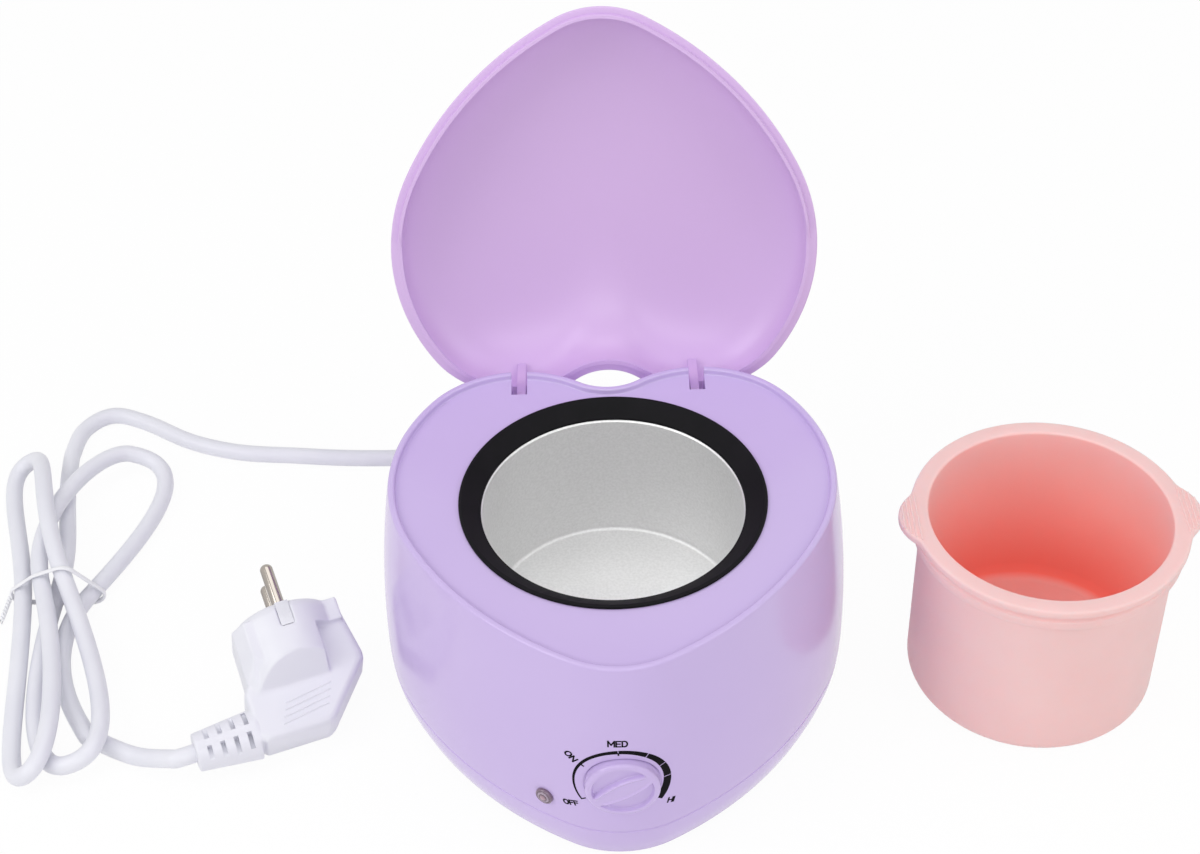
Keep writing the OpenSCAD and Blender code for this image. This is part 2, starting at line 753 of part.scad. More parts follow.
module lid_skin() {
  in_d = lip_d + 1.5;
  inner = [for (i = [len(dome_steps) - 1:-1:0]) let (k = dome_steps[i])
    dome_ring(in_d, k, lid_z + 0.6 + (lid_h - lid_t - 0.6) * dome_h(k))];
  outer = [for (k = dome_steps) dome_ring(lid_inset, k, lid_z + 1.4 + (lid_h - 1.4) * dome_h(k))];
  loft(concat(inner,
    [edge_ring(in_d, 0.2), lip_ring(in_d, 1), lip_ring(lip_d, 1), edge_ring(lip_d - 0.1, 0)],
    [edge_ring(lid_inset + 0.4, 0), edge_ring(lid_inset, 0.4)], outer),
    [0, 0, lid_z + lid_h - lid_t], [0, 0, lid_z + lid_h]);
}

module hinge_arm() {
  translate([hinge_x - slot_w / 2 + 0.7, 0, 0]) rotate([90, 0, 90]) linear_extrude(arm_t) difference() {
    union() {
      translate([hinge_y, hinge_z]) circle(eye_r);
      polygon([[hinge_y - eye_r, hinge_z], [hinge_y + eye_r - 0.6, hinge_z], [hinge_y + 1.6, rim_z],
        [hinge_y + 0.6, rim_z + 7], [hinge_y - 4, rim_z + 11], [hinge_y - 6, rim_z + 9], [hinge_y - 5, rim_z]]);
    }
    translate([hinge_y, hinge_z]) circle(pin_r + 0.06);
  }
}

module lid() {
  color(lavender) translate([0, hinge_y, hinge_z]) rotate([-lid_open, 0, 0]) translate([0, -hinge_y, -hinge_z]) {
    lid_skin();
    mirrored() hinge_arm();
  }
}

// Silicone pot

module silicone_pot() {
  r = well_r - cup_gap;
  corner = 5;
  bead_z = cup_h - 10;
  flange_r = r + cup_flange;
  color(pink) translate([half_w + cup_space + flange_r + cup_ear, cup_y, table_z]) difference() {
    union() {
      rotate_extrude() union() {
        square([r - corner, cup_h]);
        translate([0, corner]) square([r, cup_h - corner]);
        translate([r - corner, corner]) circle(corner);
        translate([0, bead_z]) square([r + 2.8, 4]);
        translate([0, cup_h - 3]) square([flange_r, 3]);
      }
      for (s = [-1, 1]) {
        translate([s * (flange_r + cup_ear - 15), 0, cup_h - 3]) cylinder(r = 15, h = 3);
        for (i = [0:3])
          let (x = flange_r + cup_ear - 1.6 - 1.7 * i, w = sqrt(225 - pow(15 - 1.6 - 1.7 * i, 2)) - 0.6)
          translate([s * x - 0.35, -w, cup_h - 0.5]) cube([0.7, 2 * w, 0.9]);
      }
    }
    rotate_extrude() union() {
      translate([0, cup_t]) square([r - cup_t - 3, cup_h]);
      translate([0, cup_t + 3]) square([r - cup_t, cup_h]);
      translate([r - cup_t - 3, cup_t + 3]) circle(3);
    }
  }
}

// Mains lead

cord_z = table_z + cord_d / 2;
lead_at = [-half_w, gland_end];
hank_at = concat(lead_at + [-132.86, -45.36], [cord_z]);
tie_t = 0.9;
tie_w = 1.8;
tie_lift = tie_t + 0.4;

// The lead runs through the tie five times. One run: place across, height in lead diameters,
// lean and climb
hank_runs = [[0, tie_lift / cord_d, 0.08, 0], [0.32, 1.68, -0.44, 0.28], [-1, 0.36, -0.17, -0.02],
  [-0.38, 1.24, -0.32, 0], [1, tie_lift / cord_d, 0.53, 0]];
// Four folds join the runs. One fold: tip across, reach, height, fullness before and after, fall
hank_folds = [[19, -1.14, 0.65, 18, 20, 0.06], [-22, 0.94, 0.9, -10, -15, 0.094],
  [4, -1.2, 0.7, 12, 12, 0.112], [18.5, 1, 0.71, 12.5, 27, -0.043]];
// The two ends: place across, reach, lean, hold
hank_ends = [[-7, 0.97, -0.05, 0.4], [19, -0.85, -0.6, 0.2]];

function hank_run_at(c, h) = [c[0] * hank_wide, 0, c[1] * cord_d] + h * [c[2], 1, c[3]];
function hank_fold(c, d, f) =
  let (tip = [f[0], f[1] * hank_run, f[2] * cord_d], h = tip[1] / 2, way = [1, 0, f[5] * cord_d])
  concat(bezier(hank_run_at(c, 0), hank_run_at(c, h), tip - f[3] * way, tip, 12),
    list_tail(bezier(tip, tip + f[4] * way, hank_run_at(d, h), hank_run_at(d, 0), 12)));
function hank_end(c, e) =
  let (tip = [e[0], e[1] * hank_run, 0])
  bezier(hank_run_at(c, 0), hank_run_at(c, 0.4 * tip[1]), tip - e[3] * tip[1] * [e[2], 1, 0], tip, 12);
function list_tail(p) = [for (i = [1:len(p) - 1]) p[i]];
function list_back(p) = [for (i = [len(p) - 1:-1:0]) p[i]];

hank_local = concat(list_back(hank_end(hank_runs[0], hank_ends[0])),
  [for (i = [0:3]) each list_tail(hank_fold(hank_runs[i], hank_runs[i + 1], hank_folds[i]))],
  list_tail(hank_end(hank_runs[4], hank_ends[1])));
hank_path = [for (p = hank_local) hank_at + p];
hank_gap = min([for (i = [0:len(hank_path) - 1]) for (j = [i + 5:1:len(hank_path) - 1])
  norm(hank_path[i] - hank_path[j])]) - cord_d;
echo(hank_gap = hank_gap, hank_low = min([for (p = hank_path) p[2]]) - cord_z);

// The free stretch, by hand: behind the body from the gland, then beside it to the hank
behind_route = [[-3, 15.6, 3], [-13, 26.6, 1.6], [-29, 31.6, 1.4], [-50, 31.6, 1.4], [-71, 30.6, 1.4]];
beside_route = [[-7, 30.6, 1.4], [-26, 31.6, 1.4], [-47, 34, 1.4], [-70, 37, 1.4], [-91, 44.6, 1.4],
  [-112, 58, 1.4], [-127, 63, 1.4], [-137.6, 53.6, 1.4]];
cord_drop = cord_z - 1.4;
hank_start = hank_path[0];
hank_ahead = hank_start + cord_d * unit(hank_start - hank_path[1]);
cord_path = concat([[0, gland_end, gland_z]], spline(concat(
  [[0, gland_end + cord_d, gland_z]],
  [for (p = behind_route) p + [0, gland_end, cord_drop]],
  [for (p = beside_route) p + [lead_at[0], lead_at[1], cord_drop]],
  [hank_ahead]), 2), [hank_start]);

// Plug: pins to local +Y, lead to local -X
plug_at = lead_at + [-40.26, -83.09];
plug_yaw = 21;
plug_rise = 22;
plug_deep = 47;
plug_shank_r = plug_pin_r - 0.5;
plug_back_h = 18;
relief_x = -21;
relief_y = -40;
relief_l = 23;
plug_z = table_z + plug_deep * sin(plug_rise) + plug_back_h / 2 * cos(plug_rise);
function plug_place(p) =
  let (y = p[1] * cos(plug_rise) - p[2] * sin(plug_rise), z = p[1] * sin(plug_rise) + p[2] * cos(plug_rise))
  [plug_at[0] + p[0] * cos(plug_yaw) - y * sin(plug_yaw),
    plug_at[1] + p[0] * sin(plug_yaw) + y * cos(plug_yaw), plug_z + z];
module at_plug() {
  translate([plug_at[0], plug_at[1], plug_z]) rotate([0, 0, plug_yaw]) rotate([plug_rise, 0, 0]) children();
}

relief_end = plug_place([relief_x - relief_l, relief_y, 0]);
hank_last = hank_path[len(hank_path) - 1];
hank_past = hank_last + cord_d * unit(hank_last - hank_path[len(hank_path) - 2]);
tail_path = concat([hank_last],
  spline([hank_past, [lead_at[0] - 91.8, lead_at[1] - 127.8, cord_z + 0.5],
    plug_place([relief_x - relief_l - cord_d, relief_y, 0])], 3),
  [relief_end]);

module cord_gland() {
  neck = sheath_r + 0.8;
  color(white) difference() {
    translate([0, gland_end, gland_z]) rotate([90, 0, 0]) {
      cylinder(r1 = neck, r2 = gland_neck + 0.6, h = gland_len - 5);
      translate([0, 0, gland_len - 5.5]) cylinder(r = gland_neck, h = gland_wall - gland_in + 6);
      translate([0, 0, gland_end - gland_in]) cylinder(r = gland_neck + 1.8, h = 2);
      translate([0, 0, gland_len - 7]) cylinder(r = gland_neck + 0.6, h = 2);
    }
    translate([-10, gland_in - 3, -10]) cube([20, 6, 10 + floor_t + 0.05]);
    for (i = [0:4])
      translate([-10, gland_end - 6 - 3.6 * i, gland_z + neck - 1.6]) cube([20, 1.6, 6]);
  }
}

module power_cord() {
  color(white) tube(cord_path, cord_d / 2, 10);
}

module cord_hank() {
  color(white) tube(hank_path, cord_d / 2, 6);
}

module cord_tail() {
  color(white) tube(tail_path, cord_d / 2, 10);
}

// What the tie goes round: the runs as they cross its band, with room r
module tied_runs(r) {
  hull() for (c = hank_runs)
    translate([c[0] * hank_wide, cord_z + c[1] * cord_d])
      scale([cord_d / 2 * norm([1, c[2]]) + tie_w / 2 * abs(c[2]) + r,
        cord_d / 2 * norm([1, c[3]]) + tie_w / 2 * abs(c[3]) + r]) circle(1, $fn = 28);
}
module cord_tie() {
  color(white) translate([hank_at[0], hank_at[1] + tie_w / 2, 0]) rotate([90, 0, 0])
    linear_extrude(tie_w) difference() {
      tied_runs(tie_t + 0.3);
      tied_runs(0.3);
    }
}

plug_flange = 10.4;
plug_head_h = 15;
plug_bevel = 2.5;
grip_outline = [[-19.5, -3], [-20, -24], [-22, -27], [-22, -44], [-19, -plug_deep], [4.5, -plug_deep],
  [7, 1.5 - plug_deep], [23.5, -26.5], [23.8, -24], [20.6, -3]];
head_low = [[-19.5, -3], [-20, -24], [-17, -29.5], [7, -28], [10, -25], [10, -3]];
head_high = [[-15, -3], [-15, -17], [-9, -21], [8, -20.5], [9, -19], [9, -3]];

// A prism on both sides of the plug's middle plane
module slab(half, outline) {
  translate([0, 0, -half]) linear_extrude(2 * half) polygon(outline);
}

module plug_grip() {
  half = plug_back_h / 2;
  hull() {
    slab(half - plug_bevel, grip_outline);
    translate([0, 0, -half]) linear_extrude(plug_back_h) offset(delta = -plug_bevel) polygon(grip_outline);
  }
  for (s = [-1, 1]) for (i = [-1:1])
    translate([1.5 * i - 2, -37.5 + 3.2 * i, s * half]) rotate(9) cube([18, 0.9, 0.8], center = true);
}

module plug_body() {
  color(white) at_plug() difference() {
    union() {
      plug_grip();
      hull() {
        slab(plug_back_h / 2, head_low);
        slab(plug_head_h, head_high);
      }
      hull() for (s = [-1, 1]) for (x = [10, 17.6])
        translate([x, -1.5, s * 8]) rotate([90, 0, 0]) cylinder(r = 3, h = plug_flange - 1.5);
      rotate([90, 0, 0]) rotate_extrude() polygon([[0, 0], [plug_r - 2.6, 0], [plug_r - 0.8, 1.2], [plug_r, 3.4],
        [plug_r, plug_flange], [0, plug_flange]]);
      translate([relief_x, relief_y, 0]) rotate([0, -90, 0]) cylinder(r1 = 9.4, r2 = 7, h = relief_l);
    }
    for (i = [0:3]) for (s = [-1, 1]) for (t = [-1, 1])
      translate([relief_x - 2.6 - 4.9 * i - 1.8, relief_y + 4.2 * t - 3, s * 8 - 3.5]) cube([1.8, 6, 7]);
    for (s = [-1, 1]) {
      translate([0, 1, s * plug_pitch / 2]) rotate([90, 0, 0]) cylinder(r = plug_shank_r, h = 9);
      translate([-2.6, -10, s * plug_r - 1.4]) cube([5.2, 11, 2.8]);
    }
  }
}

module plug_pins() {
  color(metal) at_plug() for (s = [-1, 1])
    translate([0, 0, s * plug_pitch / 2]) rotate([-90, 0, 0]) {
      translate([0, 0, -8]) cylinder(r = plug_shank_r, h = 8);
      cylinder(r = plug_pin_r, h = plug_pin_l - 1.2);
      translate([0, 0, plug_pin_l - 1.2]) cylinder(r1 = plug_pin_r, r2 = plug_pin_r - 1, h = 1.2);
    }
}

module plug_earth() {
  color(metal) at_plug() for (s = [-1, 1])
    translate([-2.4, -9.9, s * (plug_r - 0.9) - 0.5]) cube([4.8, 9.4, 1]);
}

outer_shell();
base_cover();
rubber_feet();
base_screws();
well_ring();
heating_pot();
pot_clips();
clip_screws();
heater_band();
band_screw();
thermal_fuse();
fuse_clip();
thermostat();
thermostat_nut();
indicator_lens();
neon_lamp();
terminal_block();
terminal_screws();
cord_clamp();
clamp_screws();
inner_lead();
live_lead();
load_lead();
fuse_lead();
neutral_lead();
earth_lead();
lamp_leads();
hinge_pins();
lid();
knob();
spindle();
silicone_pot();
cord_gland();
power_cord();
cord_hank();
cord_tie();
cord_tail();
plug_body();
plug_pins();
plug_earth();
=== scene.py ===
# %% [markdown]
# # A heart-shaped wax warmer
# The part is a small electric warmer: a heart-shaped body with a metal well,
# a hinged lid, a heat dial, a loose silicone pot and a mains lead in a hank.
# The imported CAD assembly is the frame. Every piece made here rides on one of
# its bodies, so the lid still swings, the dial turns and the pot lifts.

# %% Load the frame
import json
import math

import bmesh
import bpy
import numpy as np
from mathutils import Matrix, Vector


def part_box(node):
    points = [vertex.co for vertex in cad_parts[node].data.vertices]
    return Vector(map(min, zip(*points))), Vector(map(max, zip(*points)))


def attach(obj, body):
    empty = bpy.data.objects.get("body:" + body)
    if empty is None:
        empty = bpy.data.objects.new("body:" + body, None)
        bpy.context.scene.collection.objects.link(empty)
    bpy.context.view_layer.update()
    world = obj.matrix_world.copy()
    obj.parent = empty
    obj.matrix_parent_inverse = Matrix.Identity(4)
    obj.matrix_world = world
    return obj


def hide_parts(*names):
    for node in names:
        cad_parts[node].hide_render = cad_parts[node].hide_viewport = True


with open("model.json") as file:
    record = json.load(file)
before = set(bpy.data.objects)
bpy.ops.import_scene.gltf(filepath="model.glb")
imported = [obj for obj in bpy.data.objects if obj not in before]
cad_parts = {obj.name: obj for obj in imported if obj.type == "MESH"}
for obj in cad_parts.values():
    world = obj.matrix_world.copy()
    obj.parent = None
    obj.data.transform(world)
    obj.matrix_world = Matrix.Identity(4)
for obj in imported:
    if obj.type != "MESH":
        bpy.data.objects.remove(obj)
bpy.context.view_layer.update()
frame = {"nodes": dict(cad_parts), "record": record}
nodes = frame["nodes"]
MM = 0.001
TABLE_Z = -2 * MM

# %% [markdown]
# ## Camera
# The photograph looks down at the warmer through a long lens, so its upright
# edges hardly converge. The camera's place, turn and focal length were fitted
# to the rim, the ring and the lid. Blender wants the focal length on a sensor,
# so the length in pixels is scaled by the sensor's width over the picture's.

# %% Place the camera
PICTURE_W = 1200
FOCAL_PX = 2192.65
SENSOR_MM = 36
CAMERA_AT = Vector((-8.877, -560.095, 611.711)) * MM
YAW, PITCH, ROLL = (math.radians(a) for a in (0.506, 41.131, -1.368))

forward = Vector((math.sin(YAW) * math.cos(PITCH),
                  math.cos(YAW) * math.cos(PITCH), -math.sin(PITCH)))
level = Vector((math.cos(YAW), -math.sin(YAW), 0))
upright = level.cross(forward)
right = math.cos(ROLL) * level + math.sin(ROLL) * upright
up = math.cos(ROLL) * upright - math.sin(ROLL) * level

lens = bpy.data.cameras.new("photo_camera")
lens.sensor_fit = "HORIZONTAL"
lens.sensor_width = SENSOR_MM
lens.lens = FOCAL_PX / PICTURE_W * SENSOR_MM
camera = bpy.data.objects.new("photo_camera", lens)
camera.matrix_world = Matrix((
    (right.x, up.x, -forward.x, CAMERA_AT.x),
    (right.y, up.y, -forward.y, CAMERA_AT.y),
    (right.z, up.z, -forward.z, CAMERA_AT.z),
    (0, 0, 0, 1)))
bpy.context.scene.collection.objects.link(camera)
bpy.context.scene.camera = camera
bpy.context.scene.view_settings.view_transform = "Standard"
print(f"camera: {lens.lens:.1f} mm lens")

# %% [markdown]
# ## Small tools
# A shader is a tree of nodes, so one helper adds a node and fills its sockets:
# a socket is linked, anything else is a plain value. The helpers after it each
# add one step of arithmetic on colours, values or places.

# %% Helpers for shader trees
def add(tree, kind, inputs=None, **settings):
    made = tree.nodes.new(kind)
    for key, value in settings.items():
        setattr(made, key, value)
    for key, value in (inputs or {}).items():
        if isinstance(value, bpy.types.NodeSocket):
            tree.links.new(value, made.inputs[key])
        else:
            made.inputs[key].default_value = value
    return made


def blank_material(name):
    made = bpy.data.materials.new(name)
    made.use_nodes = True
    made.node_tree.nodes.clear()
    return made, made.node_tree


def rgba(r, g, b):
    return (r, g, b, 1.0)


print("tree helpers ready")


# %% Steps of shader arithmetic
def times(tree, a, b):
    return add(tree, "ShaderNodeMath", {0: a, 1: b}, operation="MULTIPLY").outputs[0]


def one_over(tree, value):
    return add(tree, "ShaderNodeMath", {0: 1.0, 1: value}, operation="DIVIDE").outputs[0]


def ranged(tree, value, low, high, start=0.3, stop=0.7):
    """Low at start, high at stop, and even steps between."""
    return add(tree, "ShaderNodeMapRange", {
        "Value": value, "From Min": start, "From Max": stop,
        "To Min": low, "To Max": high}).outputs[0]


def mixed(tree, share, first, second):
    return add(tree, "ShaderNodeMix", {0: share, 6: first, 7: second},
               data_type="RGBA").outputs[2]


def vector(tree, operation, *values):
    return add(tree, "ShaderNodeVectorMath", dict(enumerate(values)), operation=operation).outputs


def millimetres(tree):
    place = add(tree, "ShaderNodeTexCoord").outputs["Object"]
    return vector(tree, "MULTIPLY", place, (1000, 1000, 1000))[0]


print("arithmetic helpers ready")

# %% [markdown]
# A shape starts as a part, which is a list of points and a list of faces. Parts
# are skinned through rings, turned, raised from an outline, moved and merged
# before a mesh object is made of them. Objects can then be cut or joined as
# solids, and each is put on its body of the frame with its finish.

# %% Helpers for mesh objects
SHARP = math.radians(32)


def mesh_object(name, points, faces, sharp=SHARP):
    mesh = bpy.data.meshes.new(name)
    mesh.from_pydata([tuple(float(v) for v in p) for p in points], [], faces)
    work = bmesh.new()
    work.from_mesh(mesh)
    bmesh.ops.remove_doubles(work, verts=work.verts, dist=1e-7)
    bmesh.ops.recalc_face_normals(work, faces=work.faces)
    work.to_mesh(mesh)
    work.free()
    made = bpy.data.objects.new(name, mesh)
    bpy.context.scene.collection.objects.link(made)
    return soften(made, sharp)


def soften(obj, sharp=SHARP):
    mesh = obj.data
    mesh.polygons.foreach_set("use_smooth", [True] * len(mesh.polygons))
    mesh.set_sharp_from_angle(angle=sharp)
    return obj


def settle(obj, sharp=SHARP):
    """Apply the object's modifiers to its mesh."""
    graph = bpy.context.evaluated_depsgraph_get()
    settled = bpy.data.meshes.new_from_object(obj.evaluated_get(graph))
    obj.modifiers.clear()
    obj.data = settled
    return soften(obj, sharp)


print("object helpers ready")


# %% Helpers for parts
def skin(rings, loop=False, low=None, high=None):
    """Points and faces of a skin through rings of equal count."""
    count = len(rings[0])
    points = [tuple(p) for ring in rings for p in ring]
    faces = []
    for j in range(len(rings) if loop else len(rings) - 1):
        k = (j + 1) % len(rings)
        for i in range(count):
            n = (i + 1) % count
            faces.append((j * count + i, j * count + n, k * count + n, k * count + i))
    for middle, first in ((low, 0), (high, (len(rings) - 1) * count)):
        if middle is not None:
            points.append(tuple(middle))
            faces += [(len(points) - 1, first + i, first + (i + 1) % count)
                      for i in range(count)]
    return points, faces


def merged(*parts):
    """Several point and face lists as one."""
    points, faces = [], []
    for some_points, some_faces in parts:
        start = len(points)
        points += [tuple(p) for p in some_points]
        faces += [tuple(start + i for i in face) for face in some_faces]
    return points, faces


def moved(part, matrix):
    points, faces = part
    return [tuple(matrix @ Vector(p)) for p in points], faces


print("part helpers ready")


# %% Simple shapes
def turned_part(profile, steps=128, loop=False):
    """A profile of (radius, height) pairs, turned about Z."""
    angles = [2 * math.pi * i / steps for i in range(steps)]
    return skin([[(r * math.cos(a), r * math.sin(a), z) for a in angles]
                 for r, z in profile], loop)


def prism(outline, low, high):
    """A flat outline of (x, y) pairs, raised from one height to another."""
    count = len(outline)
    points = [(x, y, z) for z in (low, high) for x, y in outline]
    faces = [tuple(range(count))[::-1], tuple(range(count, 2 * count))]
    faces += [(i, (i + 1) % count, count + (i + 1) % count, count + i)
              for i in range(count)]
    return points, faces


def box_part(low, high):
    return prism([(low[0], low[1]), (high[0], low[1]),
                  (high[0], high[1]), (low[0], high[1])], low[2], high[2])


def oval(width, height, steps=12):
    turns = [2 * math.pi * i / steps for i in range(steps)]
    return [(width / 2 * math.cos(a), height / 2 * math.sin(a)) for a in turns]


def rod(radius, low, high, steps=64):
    return prism(oval(2 * radius, 2 * radius, steps), low, high)


print("shape helpers ready")


# %% Helpers for solids and finishes
def combine(obj, part, operation):
    """Cut a part out of an object, or join it on, as a solid."""
    tool = mesh_object("tool", *part)
    cut = obj.modifiers.new("cut", "BOOLEAN")
    cut.object = tool
    cut.operation = operation
    cut.solver = "EXACT"
    settle(obj)
    bpy.data.objects.remove(tool)
    return obj


def dress(obj, body, slot, material, *replaced):
    """Put a piece on its body with its finish, in place of CAD nodes."""
    obj.data.materials.clear()
    obj.data.materials.append(material)
    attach(obj, body)
    if replaced:
        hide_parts(*replaced)
    return obj


print("solid helpers ready")

# %% [markdown]
# ## Surface groups
# Moulded plastic is never quite even: the melt leaves slow drifts of tone, a
# fine skin and patches with more or less shine. Spun and drawn metal has lines
# from the tool. Both effects serve several materials, so each is a node group
# with named sockets. A group works in millimetres of the object itself, so its
# marks keep their size and stay where they are when the camera moves.

# %% Group: moulded skin
def group(name, inputs, outputs):
    tree = bpy.data.node_groups.new(name, "ShaderNodeTree")
    for socket, value in inputs.items():
        kind = "NodeSocketColor" if isinstance(value, tuple) else "NodeSocketFloat"
        tree.interface.new_socket(socket, in_out="INPUT", socket_type=kind).default_value = value
    for socket, kind in outputs.items():
        tree.interface.new_socket(socket, in_out="OUTPUT", socket_type=kind)
    return tree, tree.nodes.new("NodeGroupInput"), tree.nodes.new("NodeGroupOutput")


moulded_skin, given, put = group(
    "Moulded Skin",
    {"Colour": rgba(0.8, 0.8, 0.8), "Drift Colour": rgba(0.7, 0.7, 0.7), "Drift Size": 40.0,
     "Grain Size": 0.4, "Dull Roughness": 0.4, "Bright Roughness": 0.3},
    {"Colour": "NodeSocketColor", "Roughness": "NodeSocketFloat", "Height": "NodeSocketFloat"})
at_mm = millimetres(moulded_skin)
slow, fine = (
    add(moulded_skin, "ShaderNodeTexNoise", {
        "Vector": at_mm, "Scale": one_over(moulded_skin, given.outputs[size]),
        "Detail": detail}).outputs[0]
    for size, detail in (("Drift Size", 2.0), ("Grain Size", 3.0)))
drifted = mixed(moulded_skin, ranged(moulded_skin, slow, 0.0, 1.0),
                given.outputs["Colour"], given.outputs["Drift Colour"])
SHINE_SPREAD = (0.12, 0.4)
shine = ranged(moulded_skin, times(moulded_skin, slow, fine),
               given.outputs["Bright Roughness"], given.outputs["Dull Roughness"], *SHINE_SPREAD)
for socket, value in (("Colour", drifted), ("Roughness", shine), ("Height", fine)):
    moulded_skin.links.new(value, put.inputs[socket])
print("group:", moulded_skin.name)

# %% Group: tool lines
def round_z(tree, place):
    """The distance of a place from the Z axis, and its height."""
    x, y, z = add(tree, "ShaderNodeSeparateXYZ", {0: place}).outputs
    flat = add(tree, "ShaderNodeCombineXYZ", {0: x, 1: y}).outputs[0]
    return vector(tree, "LENGTH", flat)["Value"], z


tool_lines, given, put = group(
    "Tool Lines",
    {"Line Size": 0.3, "Dull Roughness": 0.4, "Bright Roughness": 0.3},
    {"Roughness": "NodeSocketFloat", "Height": "NodeSocketFloat", "Stain": "NodeSocketFloat"})
at_mm = millimetres(tool_lines)
from_axis, height = round_z(tool_lines, at_mm)
line_place = add(tool_lines, "ShaderNodeCombineXYZ", {0: from_axis, 1: height}).outputs[0]
lines = add(tool_lines, "ShaderNodeTexNoise", {
    "Vector": line_place, "Detail": 4.0,
    "Scale": one_over(tool_lines, given.outputs["Line Size"])}).outputs[0]
cloud = add(tool_lines, "ShaderNodeTexNoise", {
    "Vector": at_mm, "Scale": 0.06, "Detail": 4.0}).outputs[0]
satin = ranged(tool_lines, times(tool_lines, lines, cloud),
               given.outputs["Bright Roughness"], given.outputs["Dull Roughness"], *SHINE_SPREAD)
for socket, value in (("Roughness", satin), ("Height", lines), ("Stain", cloud)):
    tool_lines.links.new(value, put.inputs[socket])
print("group:", tool_lines.name)

# %% [markdown]
# ## Materials
# Two recipes cover most of the object. A moulded material takes its colour,
# shine and skin from the first group; a metal takes its lines from the second.
# The well's aluminium is blasted to a satin face without lines, so it takes the
# first recipe too, as a metal. What is even all over, such as the coat or the
# specular level, is set straight on the shader.

# %% Recipes for moulded and metal finishes
def shaded(tree, inputs):
    shader = add(tree, "ShaderNodeBsdfPrincipled", inputs)
    add(tree, "ShaderNodeOutputMaterial", {"Surface": shader.outputs[0]})


def bumped(tree, height, depth_mm):
    return add(tree, "ShaderNodeBump", {
        "Strength": 1.0, "Distance": depth_mm * MM, "Height": height}).outputs[0]


def skin_marks(tree, colour, drift, rough, grain, size):
    return add(tree, "ShaderNodeGroup", {
        "Colour": rgba(*colour), "Drift Colour": rgba(*drift), "Drift Size": size,
        "Grain Size": grain, "Bright Roughness": rough[0], "Dull Roughness": rough[1]},
        node_tree=moulded_skin).outputs


def moulded(name, colour, drift, rough=(0.24, 0.34), grain=0.5, depth=0.004, size=40.0, **plain):
    made, tree = blank_material(name)
    marks = skin_marks(tree, colour, drift, rough, grain, size)
    shaded(tree, {"Base Color": marks["Colour"], "Roughness": marks["Roughness"],
                  "Normal": bumped(tree, marks["Height"], depth), **plain})
    return made


def metal(name, colour, stain, rough=(0.25, 0.4), line=0.3, depth=0.003):
    made, tree = blank_material(name)
    marks = add(tree, "ShaderNodeGroup", {
        "Line Size": line, "Bright Roughness": rough[0], "Dull Roughness": rough[1]},
        node_tree=tool_lines).outputs
    tinted = mixed(tree, ranged(tree, marks["Stain"], 0.0, 1.0), rgba(*colour), rgba(*stain))
    shaded(tree, {"Base Color": tinted, "Roughness": marks["Roughness"],
                  "Metallic": 1.0, "Normal": bumped(tree, marks["Height"], depth)})
    return made


print("recipes: moulded, metal")

# %% The finishes of this object
LAVENDER, LAVENDER_DRIFT = (0.600, 0.475, 0.790), (0.585, 0.460, 0.780)
LAVENDER_GRAIN, LAVENDER_DEPTH, LAVENDER_SIZE = 1.6, 0.0008, 60.0
lavender = moulded("lavender_plastic", LAVENDER, LAVENDER_DRIFT, rough=(0.14, 0.20),
                   grain=LAVENDER_GRAIN, depth=LAVENDER_DEPTH, size=LAVENDER_SIZE)
ring_black = moulded("black_ring_plastic", (0.007, 0.007, 0.008), (0.010, 0.0095, 0.011),
                     rough=(0.45, 0.6), grain=0.25, depth=0.006, size=12.0,
                     **{"Specular IOR Level": 0.07})
white_pvc = moulded("white_pvc", (0.800, 0.800, 0.860), (0.770, 0.770, 0.835),
                    rough=(0.32, 0.48), grain=0.5, depth=0.006, size=18.0)
white_nylon = moulded("white_nylon", (0.78, 0.78, 0.74), (0.72, 0.71, 0.66),
                      rough=(0.42, 0.6), grain=0.3, depth=0.006, size=10.0)
foot_rubber = moulded("foot_rubber", (0.03, 0.03, 0.032), (0.045, 0.044, 0.043),
                      rough=(0.6, 0.8), grain=0.25, depth=0.02, size=6.0)
mica = moulded("mica_sheet", (0.42, 0.36, 0.26), (0.55, 0.48, 0.36),
               rough=(0.35, 0.6), grain=0.6, depth=0.02, size=7.0)
case_cream = moulded("thermostat_case", (0.66, 0.62, 0.54), (0.6, 0.55, 0.47),
                     rough=(0.45, 0.65), grain=0.3, depth=0.01, size=8.0)
dial_ink = moulded("dial_ink", (0.006, 0.0055, 0.007), (0.010, 0.009, 0.011),
                   rough=(0.6, 0.75), grain=0.2, depth=0.001, size=5.0,
                   **{"Specular IOR Level": 0.05})
lead_sleeves = {
    slot: moulded(slot, colour, tuple(0.85 * c for c in colour), rough=(0.35, 0.5), size=12.0)
    for slot, colour in {
        "lead_white": (0.75, 0.75, 0.72), "lead_brown": (0.16, 0.065, 0.03),
        "lead_red": (0.42, 0.025, 0.02), "lead_blue": (0.03, 0.10, 0.38),
        "lead_green": (0.10, 0.26, 0.03)}.items()}
aluminium = moulded("satin_aluminium", (0.79, 0.79, 0.79), (0.735, 0.735, 0.733),
                    rough=(0.54, 0.64), grain=0.55, depth=0.022, size=1.0, Metallic=1.0)
zinc_steel = metal("zinc_steel", (0.62, 0.62, 0.63), (0.54, 0.54, 0.56), rough=(0.25, 0.42))
brass = metal("turned_brass", (0.72, 0.50, 0.20), (0.62, 0.42, 0.17), rough=(0.22, 0.38))
nickel = metal("nickel_plate", (0.46, 0.42, 0.38), (0.38, 0.345, 0.31),
               rough=(0.08, 0.16), line=0.2, depth=0.001)
tie_white = moulded("tie_white", (0.880, 0.880, 0.910), (0.850, 0.850, 0.885),
                    rough=(0.35, 0.5), size=8.0)
